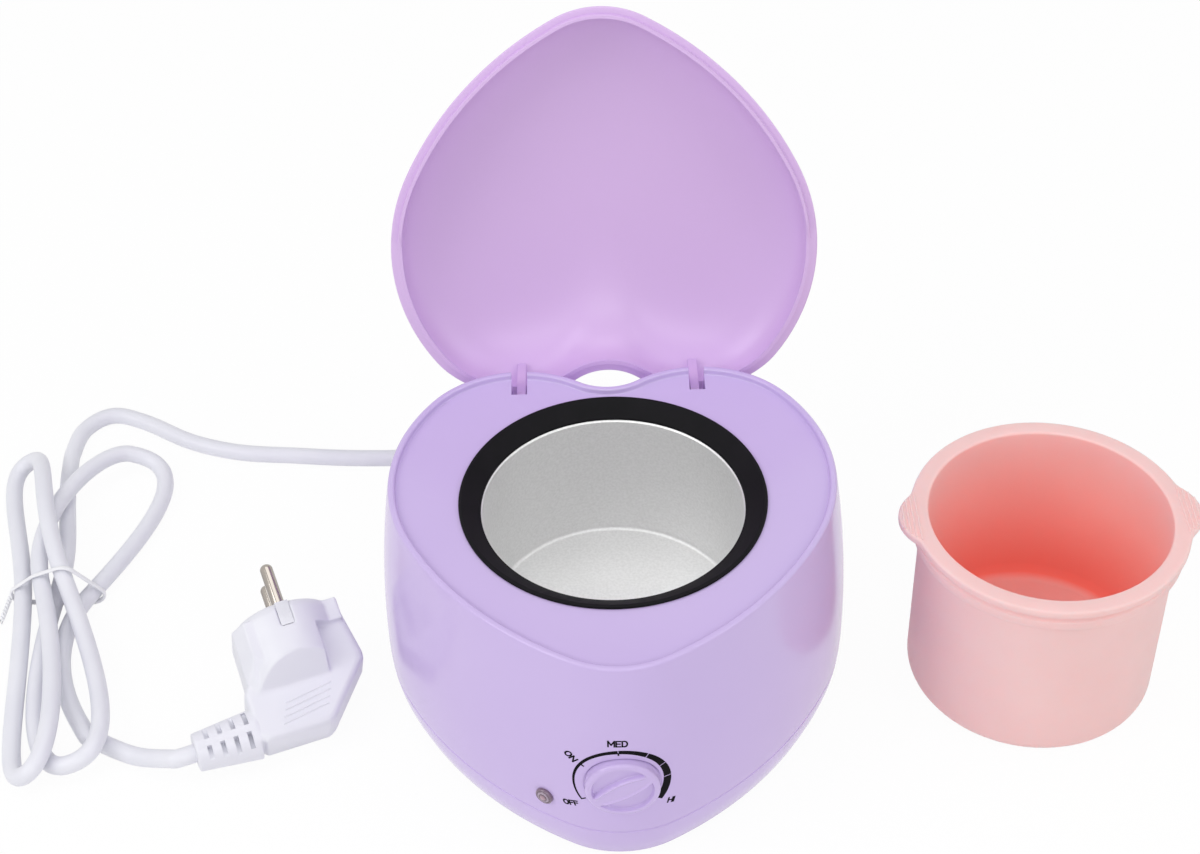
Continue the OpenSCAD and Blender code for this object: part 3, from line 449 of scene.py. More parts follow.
satin_nickel = metal("satin_nickel", (0.57, 0.57, 0.61), (0.53, 0.53, 0.57), rough=(0.45, 0.6))
print(len(bpy.data.materials), "materials")

# %% [markdown]
# Silicone is matt and lets a little light in, so it gets some subsurface. The
# inside of the pot looks deeper than its outside, because light bounces there
# many times before it comes out again. The shader's own bounces give most of
# that; the rest is painted light: a mask on height and distance from the pot's
# axis paints the inside a deeper, redder pink. Light also comes through the thin
# wall, and a faint painted glow on the inside stands for it.

# %% Silicone for the pot
POT_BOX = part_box("silicone_pot")
POT_AT = ((POT_BOX[0].x + POT_BOX[1].x) / 2, (POT_BOX[0].y + POT_BOX[1].y) / 2)
# Where each mask starts and stops, in millimetres: out from the axis, or up.
WALL_SPAN, BASE_SPAN, PAINTED_BOUNCE_SPAN = (43.6, 44.2), (-1.2, -0.2), (8.0, 77.0)
FLOOR_SPAN, PAINTED_GLOW_SPAN = (0.5, 3.0), (2.0, 8.0)
silicone, tree = blank_material("pink_silicone")
marks = skin_marks(tree, (0.890, 0.615, 0.605), (0.875, 0.590, 0.580),
                   rough=(0.5, 0.62), grain=0.35, size=25.0)
from_pot = vector(tree, "SUBTRACT", millimetres(tree), (POT_AT[0] / MM, POT_AT[1] / MM, 0))[0]
from_axis, height = round_z(tree, from_pot)
inside = times(tree, ranged(tree, from_axis, 1.0, 0.0, *WALL_SPAN),
               ranged(tree, height, 0.0, 1.0, *BASE_SPAN))
# Painted light: the lower inside of the cup is painted a deeper, redder pink for light bounced
# inside it.
deep = times(tree, inside, ranged(tree, height, 1.0, 0.0, *PAINTED_BOUNCE_SPAN))
painted_bounce_mask = times(tree, deep, ranged(tree, height, 0.15, 1.0, *FLOOR_SPAN))
painted_bounce_colour = mixed(tree, painted_bounce_mask, marks["Colour"], rgba(0.94, 0.32, 0.265))
# Painted glow: the inside wall and floor emit a faint red light for light coming through the thin
# wall.
painted_glow_mask = times(tree, inside, ranged(tree, height, 1.0, 0.25, *PAINTED_GLOW_SPAN))
shaded(tree, {"Base Color": painted_bounce_colour, "Roughness": marks["Roughness"],
              "Normal": bumped(tree, marks["Height"], 0.008),
              "Emission Color": mixed(tree, painted_glow_mask, rgba(0, 0, 0), rgba(0.95, 0.20, 0.16)),
              "Emission Strength": 0.14,
              "Subsurface Weight": 0.6, "Subsurface Radius": (1.0, 0.5, 0.45),
              "Subsurface Scale": 6 * MM, "Specular IOR Level": 0.4})
print("material:", silicone.name)

# %% [markdown]
# ## Studio
# The picture is a product shot on white. The floor is a pale plane. To the
# camera, and in metal and glass, it is mostly white of its own, so it reads as
# paper while it keeps a soft shadow. To every other ray it is plain white card in
# a softly lit room. From below it is clear, so the underside can be looked at.
# Four wide softboxes, left, right, above and behind the camera, light the object
# evenly and give the long, gentle highlights.

# %% Floor
PAPER_WHITE = 0.95


def seen_by_eye(tree):
    """1 for camera, mirror and glass rays, 0 for all other light."""
    path = add(tree, "ShaderNodeLightPath")
    seen = path.outputs["Is Camera Ray"]
    for ray in ("Is Glossy Ray", "Is Transmission Ray"):
        seen = add(tree, "ShaderNodeMath", {0: seen, 1: path.outputs[ray]},
                   operation="MAXIMUM").outputs[0]
    return seen


def either(tree, share, first, second):
    return add(tree, "ShaderNodeMixShader", {
        0: share, 1: first.outputs[0], 2: second.outputs[0]})


paper, tree = blank_material("paper_floor")
card = add(tree, "ShaderNodeBsdfDiffuse", {"Color": rgba(0.95, 0.95, 0.95)})
glow = add(tree, "ShaderNodeEmission", {"Color": rgba(1, 1, 1), "Strength": 1.0})
above = either(tree, times(tree, seen_by_eye(tree), PAPER_WHITE), card, glow)
from_below = add(tree, "ShaderNodeNewGeometry").outputs["Backfacing"]
sided = either(tree, from_below, above, add(tree, "ShaderNodeBsdfTransparent"))
add(tree, "ShaderNodeOutputMaterial", {"Surface": sided.outputs[0]})

FLOOR_HALF = 4.0
corners = [(FLOOR_HALF * x, FLOOR_HALF * y, TABLE_Z)
           for x, y in ((-1, -1), (1, -1), (1, 1), (-1, 1))]
floor = mesh_object("floor", corners, [(0, 1, 2, 3)])
floor.data.materials.append(paper)
print("floor:", 2 * FLOOR_HALF, "m wide")

# %% World and lamps
AMBIENT = 0.52
world = bpy.data.worlds.new("white_room")
world.use_nodes = True
tree = world.node_tree
tree.nodes.clear()
dim = add(tree, "ShaderNodeBackground", {"Color": rgba(1, 1, 1), "Strength": AMBIENT})
white = add(tree, "ShaderNodeBackground", {"Color": rgba(1, 1, 1), "Strength": 1.0})
add(tree, "ShaderNodeOutputWorld", {
    "Surface": either(tree, seen_by_eye(tree), dim, white).outputs[0]})
bpy.context.scene.world = world


def softbox(name, place, aim, size, watts):
    light = bpy.data.lights.new(name, "AREA")
    light.shape = "RECTANGLE"
    light.size, light.size_y = size
    light.energy = watts
    made = bpy.data.objects.new(name, light)
    made.location = place
    made.rotation_euler = (Vector(aim) - Vector(place)).to_track_quat("-Z", "Y").to_euler()
    bpy.context.scene.collection.objects.link(made)
    return made


MIDDLE = (0, 0, 0.06)
softbox("softbox_left", (-0.95, -0.4, 0.9), MIDDLE, (0.6, 0.8), 4.4)
softbox("softbox_right", (1.0, -0.4, 0.8), MIDDLE, (0.6, 0.8), 2.2)
softbox("softbox_top", (0.0, 0.15, 1.35), MIDDLE, (1.0, 0.8), 3.3)
softbox("softbox_front", (0.0, -1.2, 0.95), MIDDLE, (1.2, 0.5), 4.0)
print("studio: 4 softboxes")

# %% [markdown]
# ## Outline of the heart
# Half the heart is five arcs, each tangent to the next: tip, flank, side, lobe
# and cleft. A curve drawn by hand could pass for it, but each offset of it would
# have to be drawn too. An offset of arcs keeps their centres and changes their
# radii, so the wall, the lip and the lid all come from one function.

# %% Arcs of the outline
TIP_Y, TIP_R, TIP_TURN = 83 * MM, 35 * MM, 28.5
FLANK_R, FLANK_TURN = 131 * MM, 35
SIDE_R, SIDE_TURN = 71.5 * MM, 63.5
LOBE_R = 39.6 * MM
CLEFT_R = 19 * MM
ARC_STEPS = (16, 24, 24, 30, 14)


def outward(degrees):
    a = math.radians(degrees)
    return np.array((math.sin(a), -math.cos(a)))


turn_1 = TIP_TURN
turn_2 = turn_1 + FLANK_TURN
turn_3 = turn_2 + SIDE_TURN
tip_c = np.array((0, TIP_R - TIP_Y))
flank_c = tip_c + (TIP_R - FLANK_R) * outward(turn_1)
side_c = flank_c + (FLANK_R - SIDE_R) * outward(turn_2)
lobe_c = side_c + (SIDE_R - LOBE_R) * outward(turn_3)
cleft_c = np.array((0, lobe_c[1] + math.sqrt((LOBE_R + CLEFT_R) ** 2 - lobe_c[0] ** 2)))
cleft_a = math.degrees(math.atan2(cleft_c[1] - lobe_c[1], -lobe_c[0]))
rear_y = lobe_c[1] + LOBE_R
cleft_y = cleft_c[1] - CLEFT_R


def arc(centre, radius, start, stop, steps):
    angles = np.radians(start + (stop - start) * np.arange(steps) / steps)
    return centre + radius * np.c_[np.cos(angles), np.sin(angles)]


def heart(inset):
    """The outline moved in by inset, once round from the tip."""
    half = np.vstack((
        arc(tip_c, TIP_R - inset, -90, turn_1 - 90, ARC_STEPS[0]),
        arc(flank_c, FLANK_R - inset, turn_1 - 90, turn_2 - 90, ARC_STEPS[1]),
        arc(side_c, SIDE_R - inset, turn_2 - 90, turn_3 - 90, ARC_STEPS[2]),
        arc(lobe_c, LOBE_R - inset, turn_3 - 90, cleft_a, ARC_STEPS[3]),
        arc(cleft_c, CLEFT_R + inset, cleft_a - 180, -90, ARC_STEPS[4]),
        [[0, cleft_y - inset]]))
    return np.vstack((half, half[-2:0:-1] * (-1, 1)))


print(f"heart: {len(heart(0))} points")

# %% [markdown]
# The wall stands out from that outline by an amount that changes with height: it
# bellies below the rim and tucks in again towards the table. A ring is the
# outline at one height, and the round ones have a point for each of its points.

# %% Rings of the wall
RIM_Z, SEAM_Z = 91.5 * MM, 15.5 * MM
BELLY, BELLY_Z, TUCK = 5.2 * MM, 26 * MM, 4.2 * MM
WALL_T, LIP_W = 2.5 * MM, 2.4 * MM
DECK_Z = RIM_Z - 2.2 * MM
DECK_LOW = DECK_Z - 2.5 * MM


def wall_inset(z):
    if z > BELLY_Z:
        return -BELLY * (1 - ((z - BELLY_Z) / (RIM_Z - BELLY_Z)) ** 2)
    return -BELLY + TUCK * ((BELLY_Z - z) / BELLY_Z) ** 2.9


def heart_ring(inset, z):
    return [(x, y, z) for x, y in heart(inset)]


def wall_ring(z, inset=0.0):
    return heart_ring(wall_inset(z) + inset, z)


def round_ring(radius, z):
    return [(radius * math.cos(a), radius * math.sin(a), z)
            for a in (math.atan2(y, x) for x, y in heart(0))]


half_width = side_c[0] + SIDE_R + BELLY
print(f"wall: {2 * half_width / MM:.0f} mm wide at the belly")

# %% [markdown]
# ## Mains lead and hank
# The lead is one length of cable: it leaves the strain relief at the back, lies
# along the table, is folded into a hank and ends in the plug. A curve with a
# round bevel is the natural form, since its own line is the cable's centre. The
# route repeats the CAD route's points; a smooth spline runs through them.

# %% Route of the lead
CORD_D = 6.8 * MM
CORD_Z = TABLE_Z + CORD_D / 2
GLAND_LEN = 30 * MM
GLAND_Z = 8.5 * MM
gland_wall = cleft_y - wall_inset(GLAND_Z)
gland_end = gland_wall + GLAND_LEN
lead_at = np.array((-half_width, gland_end, 0))

BEHIND_ROUTE = np.array((
    (-0.003, 0.0156, 0.003), (-0.013, 0.0266, 0.0016), (-0.029, 0.0316, 0.0014),
    (-0.050, 0.0316, 0.0014), (-0.071, 0.0306, 0.0014)))
BESIDE_ROUTE = np.array((
    (-0.007, 0.0306, 0.0014), (-0.026, 0.0316, 0.0014), (-0.047, 0.034, 0.0014),
    (-0.070, 0.037, 0.0014), (-0.091, 0.0446, 0.0014), (-0.112, 0.058, 0.0014),
    (-0.127, 0.063, 0.0014), (-0.1376, 0.0536, 0.0014)))


def unit(v):
    return v / np.linalg.norm(v)


def smooth(t):
    u = min(1.0, max(0.0, t))
    return u * u * (3 - 2 * u)


def spline(points, steps):
    """Points on a smooth curve through the given ones."""
    made = []
    last = len(points) - 1
    for i in range(last):
        a, b, c, d = (points[min(max(j, 0), last)] for j in (i - 1, i, i + 1, i + 2))
        for t in np.arange(steps) / steps:
            made.append(b + 0.5 * t * (c - a + t * (2 * a - 5 * b + 4 * c - d
                                                    + t * (3 * (b - c) + d - a))))
    return np.array(made + [points[last]])


print("route:", len(BEHIND_ROUTE) + len(BESIDE_ROUTE), "points by hand")

# %% [markdown]
# The cable runs through the tie five times, and four folds join the runs. A run is
# a straight line given by its place, height, lean and climb; a fold is two Bezier
# halves that leave one run, turn over at a tip and settle into the next. The free
# ends come down to the table in the same way.

# %% Folds of the hank
HANK_RUN, HANK_WIDE, TIE_LIFT = 78 * MM, 13.1 * MM, 1.3 * MM
LOW_RUN = TIE_LIFT / CORD_D
HANK_RUNS = ((0, LOW_RUN, 0.08, 0), (0.32, 1.68, -0.44, 0.28), (-1, 0.36, -0.17, -0.02),
             (-0.38, 1.24, -0.32, 0), (1, LOW_RUN, 0.53, 0))
FOLD_STEPS = 24


def bezier(a, b, c, d):
    t = np.linspace(0, 1, FOLD_STEPS + 1)[:, None]
    s = 1 - t
    return s ** 3 * a + 3 * s * s * t * b + 3 * s * t * t * c + t ** 3 * d


def run_at(run, along):
    """A place on a run, from the tie along the hank."""
    across, height, lean, climb = run
    return (np.array((across * HANK_WIDE, 0, height * CORD_D))
            + along * np.array((lean, 1, climb)))


def fold(first, second, shape):
    across, reach, height, before, after, fall = shape
    tip = np.array((across * MM, reach * HANK_RUN, height * CORD_D))
    way = np.array((MM, 0, fall * CORD_D))
    return np.vstack((
        bezier(run_at(first, 0), run_at(first, tip[1] / 2), tip - before * way, tip),
        bezier(tip, tip + after * way, run_at(second, tip[1] / 2), run_at(second, 0))[1:]))


def free_end(run, shape):
    across, reach, lean, hold = shape
    tip = np.array((across * MM, reach * HANK_RUN, 0))
    return bezier(run_at(run, 0), run_at(run, 0.4 * tip[1]),
                  tip - hold * tip[1] * np.array((lean, 1, 0)), tip)


print("hank:", len(HANK_RUNS), "runs")

# %% Wind the hank
HANK_FOLDS = ((19, -1.14, 0.65, 18, 20, 0.06), (-22, 0.94, 0.9, -10, -15, 0.094),
              (4, -1.2, 0.7, 12, 12, 0.112), (18.5, 1, 0.71, 12.5, 27, -0.043))
HANK_ENDS = ((-7, 0.97, -0.05, 0.4), (19, -0.85, -0.6, 0.2))
hank_at = lead_at + (-0.13286, -0.04536, CORD_Z)
hank_path = hank_at + np.vstack(
    [free_end(HANK_RUNS[0], HANK_ENDS[0])[::-1]]
    + [fold(HANK_RUNS[i], HANK_RUNS[i + 1], HANK_FOLDS[i])[1:] for i in range(4)]
    + [free_end(HANK_RUNS[4], HANK_ENDS[1])[1:]])
print(f"hank: {len(hank_path)} points")

# %% [markdown]
# The plug lies with its grip on the table and its pins raised, turned a little to
# the left. One matrix holds that place, so that its pieces can be made in a
# straight frame of their own.

# %% Place of the plug
PLUG_YAW, PLUG_RISE = math.radians(21), math.radians(22)
PLUG_DEEP, PLUG_BACK = 47 * MM, 18 * MM
RELIEF_X, RELIEF_Y, RELIEF_L = -21 * MM, -40 * MM, 23 * MM
plug_at = Vector(lead_at + (-0.04026, -0.08309, 0))
plug_at.z = TABLE_Z + PLUG_DEEP * math.sin(PLUG_RISE) + PLUG_BACK / 2 * math.cos(PLUG_RISE)
plug_matrix = (Matrix.Translation(plug_at) @ Matrix.Rotation(PLUG_YAW, 4, "Z")
               @ Matrix.Rotation(PLUG_RISE, 4, "X"))


def plug_place(x, y, z):
    return np.array(plug_matrix @ Vector((x, y, z)))


print(f"plug: turned {math.degrees(PLUG_YAW):.0f} and raised {math.degrees(PLUG_RISE):.0f} degrees")

# %% [markdown]
# The stretches are then strung together: what the strain relief holds, the free
# stretch, the hank, the tail and what the plug holds. A last spline through all
# their points leaves no corner where two of them meet.

# %% The lead from end to end
ROUTE_Z = 1.4 * MM
HELD_IN = 6 * MM
cord_drop = np.array((0, 0, CORD_Z - ROUTE_Z))
gland_out = np.array((0, gland_end, GLAND_Z))
relief_x = RELIEF_X - RELIEF_L
hank_ahead = hank_path[0] + CORD_D * unit(hank_path[0] - hank_path[1])
hank_past = hank_path[-1] + CORD_D * unit(hank_path[-1] - hank_path[-2])
tail_middle = lead_at + (-0.0918, -0.1278, CORD_Z + 0.5 * MM)
free_stretch = np.vstack((
    [gland_out + (0, CORD_D, 0)], BEHIND_ROUTE + gland_out * (0, 1, 0) + cord_drop,
    BESIDE_ROUTE + lead_at + cord_drop, [hank_ahead]))
tail = np.array((hank_past, tail_middle, plug_place(relief_x - CORD_D, RELIEF_Y, 0)))
lead_path = spline(np.vstack((
    [gland_out - (0, HELD_IN, 0), gland_out], spline(free_stretch, 4), hank_path, spline(tail, 6),
    [plug_place(x, RELIEF_Y, 0) for x in (relief_x, relief_x + HELD_IN)])), 2)

curve = bpy.data.curves.new("mains_lead", "CURVE")
curve.dimensions = "3D"
curve.bevel_depth = CORD_D / 2
curve.bevel_resolution = 6
curve.use_fill_caps = True
line = curve.splines.new("POLY")
line.points.add(len(lead_path) - 1)
line.points.foreach_set("co", np.c_[lead_path, np.ones(len(lead_path))].ravel())
mains_lead = bpy.data.objects.new("mains_lead", curve)
bpy.context.scene.collection.objects.link(mains_lead)
dress(mains_lead, "base", "white_pvc", white_pvc, "power_cord", "cord_hank", "cord_tail")

# %% [markdown]
# ## Tie
# A thin coated wire holds the hank at its waist, and its two ends are twisted
# together at the left. A plain oval would cut the cable or stand off it, so the
# loop lies on the outline drawn tight round the runs, with a little room. The
# twist is two fine round wires wound about one line, and their cut ends show bare
# steel. Loop and wires are all one section carried along a path.

# %% Carry a section along a path
def swept(path, section, closed=False):
    """A section of (across, upward) pairs carried along a path."""
    rings = []
    last = len(path) - 1
    across = None
    for i, p in enumerate(path):
        ahead = path[(i + 1) % len(path)] if closed else path[min(i + 1, last)]
        back = path[i - 1] if closed else path[max(i - 1, 0)]
        along = unit(np.array(ahead) - np.array(back))
        across = across if across is not None else unit(np.cross(along, (0.13, 0.98, 0.1)))
        across = unit(across - along * across.dot(along))
        lift = np.cross(along, across)
        rings.append([np.array(p) + u * across + v * lift for u, v in section])
    if closed:
        return skin(rings, loop=True)
    return skin(rings, low=path[0], high=path[last])


print("sweep ready")

# %% Loop of the tie
TIE_T, TIE_W, TIE_ROOM = 1.2 * MM, 2.2 * MM, 0.3 * MM


def tied_outline(room, steps=96):
    """The tight outline round the runs where they cross the tie."""
    spots = []
    for across, height, lean, climb in HANK_RUNS:
        wide = CORD_D / 2 * math.hypot(1, lean) + TIE_W / 2 * abs(lean) + room
        tall = CORD_D / 2 * math.hypot(1, climb) + TIE_W / 2 * abs(climb) + room
        spots += [(across * HANK_WIDE + x, height * CORD_D + z)
                  for x, z in oval(2 * wide, 2 * tall, steps)]
    made = []
    for way in (1, -1):
        side = []
        for x, z in sorted(spots)[::way]:
            while len(side) > 1 and ((side[-1][0] - side[-2][0]) * (z - side[-2][1])
                                     <= (side[-1][1] - side[-2][1]) * (x - side[-2][0])):
                side.pop()
            side.append((x, z))
        made += side[:-1]
    return made


loop_path = [hank_at + (x, 0, z) for x, z in tied_outline(TIE_ROOM + TIE_T / 2)]
loop_part = swept(loop_path, oval(TIE_T, TIE_W), closed=True)
print("tie: loop of", len(loop_path), "points")

# %% Twist and bare ends of the tie
TIE_WIRE, WIRE_END = 0.5 * MM, 1.4 * MM
TWIST_LEN, TWIST_TURNS, TWIST_R, TWIST_STEPS = 11 * MM, 4, 0.55 * MM, 48
twist_from = min(loop_path, key=lambda p: p[0])
twist_way = unit(np.array((-0.30, -0.92, -0.45)))
twist_side = unit(np.cross(twist_way, (0, 0, 1)))
twist_up = np.cross(twist_side, twist_way)
twists, bare_ends = [], []
for start in (0, math.pi):
    turn_path = []
    for share in np.linspace(0, 1, TWIST_STEPS + 1):
        a = start + 2 * math.pi * TWIST_TURNS * share
        turn_path.append(twist_from + twist_way * TWIST_LEN * share
                         + TWIST_R * (math.cos(a) * twist_side + math.sin(a) * twist_up))
    twists.append(swept(turn_path, oval(2 * TIE_WIRE, 2 * TIE_WIRE, 8)))
    bare_ends.append(swept([turn_path[-1], turn_path[-1] + twist_way * WIRE_END],
                           oval(TIE_WIRE, TIE_WIRE, 8)))
wire_tie = mesh_object("wire_tie", *merged(loop_part, *twists))
dress(wire_tie, "base", "white_pvc", tie_white, "cord_tie")
wire_ends = mesh_object("wire_tie_ends", *merged(*bare_ends))
dress(wire_ends, "base", "steel", zinc_steel)
print("tie:", len(wire_tie.data.polygons), "faces")

# %% [markdown]
# ## Plug
# The plug is one soft moulding round its pins: a round barrel with a sloped back, a
# thinner grip with fine ridges, and a slotted strain relief. Solids joined by
# booleans give the forms; a voxel remesh and a little smoothing then round all
# the edges alike, which is just how such a moulding looks.

# %% Moulding of the plug
PLUG_BEVEL, GRIP_HALF, PLUG_HEAD = 2.5 * MM, 22 * MM, 15 * MM
GRIP = [(-19.5, -3), (-20, -24), (-22, -27), (-22, -44), (-19, -47), (4.5, -47),
        (7, -45.5), (23.5, -26.5), (23.8, -24), (20.6, -3)]
HEAD_LOW = [(-19.5, -3), (-20, -24), (-17, -29.5), (7, -28), (10, -25), (10, -3)]
HEAD_HIGH = [(-15, -3), (-15, -17), (-9, -21), (8, -20.5), (9, -19), (9, -3)]


def in_metres(outline):
    return [(x * MM, y * MM) for x, y in outline]


def drawn_in(outline, share):
    middle = np.mean(outline, axis=0)
    return [tuple(middle + (np.array(p) - middle) * share) for p in outline]


def stacked(levels):
    """A solid through outlines at rising heights."""
    rings = [[(x, y, z) for x, y in outline] for outline, z in levels]
    low, high = (np.mean(rings[i], axis=0) for i in (0, -1))
    return skin(rings, low=low, high=high)


def rounded(radius):
    """A quarter round in steps: (in from the side, down from the top)."""
    turns = [math.radians(a) for a in (0, 22.5, 45, 67.5, 90)]
    return [(radius * (1 - math.cos(a)), radius * (1 - math.sin(a))) for a in turns]


half_back = PLUG_BACK / 2
grip, head_low, head_high = (in_metres(o) for o in (GRIP, HEAD_LOW, HEAD_HIGH))
grip_levels = [(drawn_in(grip, 1 - inset / GRIP_HALF), half_back - drop)
               for inset, drop in rounded(PLUG_BEVEL)[::-1]]
plug = mesh_object("plug_moulding", *stacked(
    [(outline, -z) for outline, z in grip_levels] + grip_levels[::-1]))
combine(plug, stacked(((head_high, -PLUG_HEAD), (head_low, -half_back),
                       (head_low, half_back), (head_high, PLUG_HEAD))), "UNION")
print("grip and head:", len(plug.data.polygons), "faces")

# %% Barrel and strain relief of the plug
PLUG_R, PLUG_FLANGE, BARREL_L = 19 * MM, 10.4 * MM, 29.5 * MM
BARREL_SLOPE = ((-20, 19.5), (-29, 9), (-34, 9), (-34, 24), (-20, 24))
# Turns a part made along Z to lie along X, with its own X along Y.
LENGTHWAYS = Matrix(((0, 0, 1, 0), (1, 0, 0, 0), (0, 1, 0, 0), (0, 0, 0, 1)))


def along_plug(part):
    """A part made along Z, turned to lie along the plug's own -Y."""
    return moved(part, Matrix.Rotation(math.pi / 2, 4, "X"))


def taken(obj):
    """The points and faces of an object, which goes."""
    part = ([v.co[:] for v in obj.data.vertices],
            [face.vertices[:] for face in obj.data.polygons])
    bpy.data.objects.remove(obj)
    return part


barrel = mesh_object("barrel", *along_plug(turned_part(
    ((0, 0), (PLUG_R - 2.6 * MM, 0), (PLUG_R - 0.8 * MM, 1.2 * MM), (PLUG_R, 3.4 * MM),
     (PLUG_R, BARREL_L), (0, BARREL_L)), 96)))
for side in (-1, 1):
    slope = in_metres((y, side * z) for y, z in BARREL_SLOPE)
    combine(barrel, moved(prism(slope, -25 * MM, 25 * MM), LENGTHWAYS), "DIFFERENCE")
step = box_part((10 * MM, -34 * MM, -24 * MM), (25 * MM, -PLUG_FLANGE, 24 * MM))
combine(barrel, step, "DIFFERENCE")
combine(plug, taken(barrel), "UNION")
combine(plug, box_part((8 * MM, -PLUG_FLANGE, -11 * MM), (20.6 * MM, -1.5 * MM, 11 * MM)), "UNION")
relief_part = moved(turned_part(
    ((0, 0), (9.4 * MM, 0), (7 * MM, RELIEF_L), (0, RELIEF_L)), 64),
    Matrix.Translation((RELIEF_X, RELIEF_Y, 0)) @ Matrix.Rotation(-math.pi / 2, 4, "Y"))
combine(plug, relief_part, "UNION")
print("plug solid:", len(plug.data.polygons), "faces")

# %% Seats for the metal, and soft edges
PIN_PITCH = 19 * MM
PLUG_VOXEL, SOFT_ANGLE = 0.45 * MM, math.radians(60)
seats = []
for side in (-1, 1):
    pin_seat = along_plug(rod(1.95 * MM, -1 * MM, 8 * MM, 32))
    seats.append(moved(pin_seat, Matrix.Translation((0, 0, side * PIN_PITCH / 2))))
    z = side * PLUG_R
    seats.append(box_part((-2.6 * MM, -10 * MM, z - 1.4 * MM), (2.6 * MM, 1 * MM, z + 1.4 * MM)))
combine(plug, merged(*seats), "DIFFERENCE")
remesh = plug.modifiers.new("remesh", "REMESH")
remesh.mode = "VOXEL"
remesh.voxel_size = PLUG_VOXEL
rounding = plug.modifiers.new("rounding", "SMOOTH")
rounding.factor = 0.5
rounding.iterations = 8
settle(plug, SOFT_ANGLE)
print("plug:", len(plug.data.polygons), "faces")

# %% [markdown]
# The slots of the strain relief and the ridges of the grip are too fine for the
# voxels. They come after the rounding: the slots are cut, and the ridges are thin
# bars laid half into both faces.

# %% Relief slots and ridges of the plug
slots = []
for i in range(4):
    x = RELIEF_X - (2.6 + 4.9 * i) * MM
    for side in (-1, 1):
        for row in (-1, 1):
            y, z = RELIEF_Y + row * 4.2 * MM, side * 8 * MM
            slots.append(box_part((x - 1.7 * MM, y - 2.8 * MM, z - 3.2 * MM),
                                  (x, y + 2.8 * MM, z + 3.2 * MM)))
combine(plug, merged(*slots), "DIFFERENCE")
soften(plug, SOFT_ANGLE)
plug.data.transform(plug_matrix)
dress(plug, "base", "white_pvc", white_pvc, "plug_body")

RIDGE_HALF, RIDGE_TURN, RIDGE_SINK = 9 * MM, math.radians(9), 0.05 * MM
reach = RIDGE_HALF * np.array((math.cos(RIDGE_TURN), math.sin(RIDGE_TURN), 0))
ridges = []
for side in (-1, 1):
    for i in (-1.5, -0.5, 0.5, 1.5):
        middle = np.array(((i - 1.5) * MM, (2.5 * i - 37.5) * MM, side * (half_back - RIDGE_SINK)))
        ridges.append(swept([middle - reach, middle, middle + reach], oval(0.8 * MM, 0.9 * MM)))
plug_ridges = mesh_object("plug_ridges", *moved(merged(*ridges), plug_matrix))
dress(plug_ridges, "base", "white_pvc", white_pvc)
print("plug:", len(slots), "slots,", len(ridges), "ridges")

# %% [markdown]
# The two pins are round and domed, so each is a turned profile.

# %% Pins of the plug
PIN_R, PIN_L, SHANK_R = 2.4 * MM, 19 * MM, 1.9 * MM
pin_profile = [(SHANK_R, -8 * MM), (SHANK_R, 0), (PIN_R, 0)]
for i in range(9):
    a = math.pi / 2 * i / 8
    pin_profile.append((PIN_R * math.cos(a), PIN_L - PIN_R * (1 - math.sin(a)) * 0.9))
pins = [moved(turned_part(pin_profile, 40),
              plug_matrix @ Matrix.Translation((0, 0, side * PIN_PITCH / 2))
              @ Matrix.Rotation(-math.pi / 2, 4, "X")) for side in (-1, 1)]
plug_pins = mesh_object("plug_pin_pair", *merged(*pins))
dress(plug_pins, "base", "nickel", nickel, "plug_pins")

# %% [markdown]
# ## Body shell
# The body is a moulded shell: a bellied wall, a rounded rim, and a deck let in a
# little below it with a round hole for the well. A block could be pushed into that
# form, but its edges would not stay even all the way round. It is one skin through
# rings of the heart, from the seam up the outside, over the rim, across the deck
# and down the inside again, so each edge keeps one radius.

# %% Loft the shell
DECK_HOLE_R = 51.5 * MM
RIM_ROUND, LIP_ROUND, DECK_FILLET = 0.9 * MM, 0.7 * MM, 0.6 * MM
SEAM_BEVEL = 0.45 * MM
RIM_OUT = 0.05 * MM

rings = [wall_ring(SEAM_Z, SEAM_BEVEL)]
rings += [wall_ring(z) for z in np.linspace(SEAM_Z + 0.5 * MM, RIM_Z - RIM_ROUND, 34)[:-1]]
rings += [heart_ring(inset - RIM_OUT, RIM_Z - drop) for inset, drop in rounded(RIM_ROUND)]
rings += [heart_ring(LIP_W - out, RIM_Z - drop) for drop, out in rounded(LIP_ROUND)]
rings += [heart_ring(LIP_W + inset, DECK_Z + rise) for inset, rise in rounded(DECK_FILLET)]
rings += [round_ring(DECK_HOLE_R, DECK_Z), round_ring(DECK_HOLE_R, DECK_LOW)]
rings += [wall_ring(z, WALL_T) for z in np.linspace(DECK_LOW, SEAM_Z, 16)]
shell = mesh_object("body_shell", *skin(rings, loop=True))
print("shell:", len(shell.data.polygons), "faces")

# %% [markdown]
# Two pockets at the back take the lid's hinge arms. At the front the wall has a
# flat, round seat for the knob and a small hole for the indicator lens. The seat
# is nearly as deep as the wall is thick, so a pad goes behind it first.

# %% Cut the pockets, the seat and the lens hole
HINGE_IN = 4.8 * MM
hinge_x = lobe_c[0]
hinge_y = rear_y - HINGE_IN
HINGE_Z = 81.5 * MM
SLOT_W = 5.8 * MM
slot_front = hinge_y - 6.2 * MM
slot_low = HINGE_Z - 5.6 * MM
POCKET_WALL = 1.6 * MM

DIAL_Z = 40 * MM
KNOB_R, KNOB_H, KNOB_GAP = 12.7 * MM, 4.6 * MM, 0.3 * MM
dial_seat = -TIP_Y + wall_inset(DIAL_Z) + 2.3 * MM
LENS_Z, LENS_TURN = 26 * MM, -32


def facing_front(part, at, turn=0.0):
    """A part made along Z, turned to face the front at a place."""
    return moved(part, Matrix.Translation(at) @ Matrix.Rotation(math.radians(turn), 4, "Z")
                 @ Matrix.Rotation(math.pi / 2, 4, "X"))


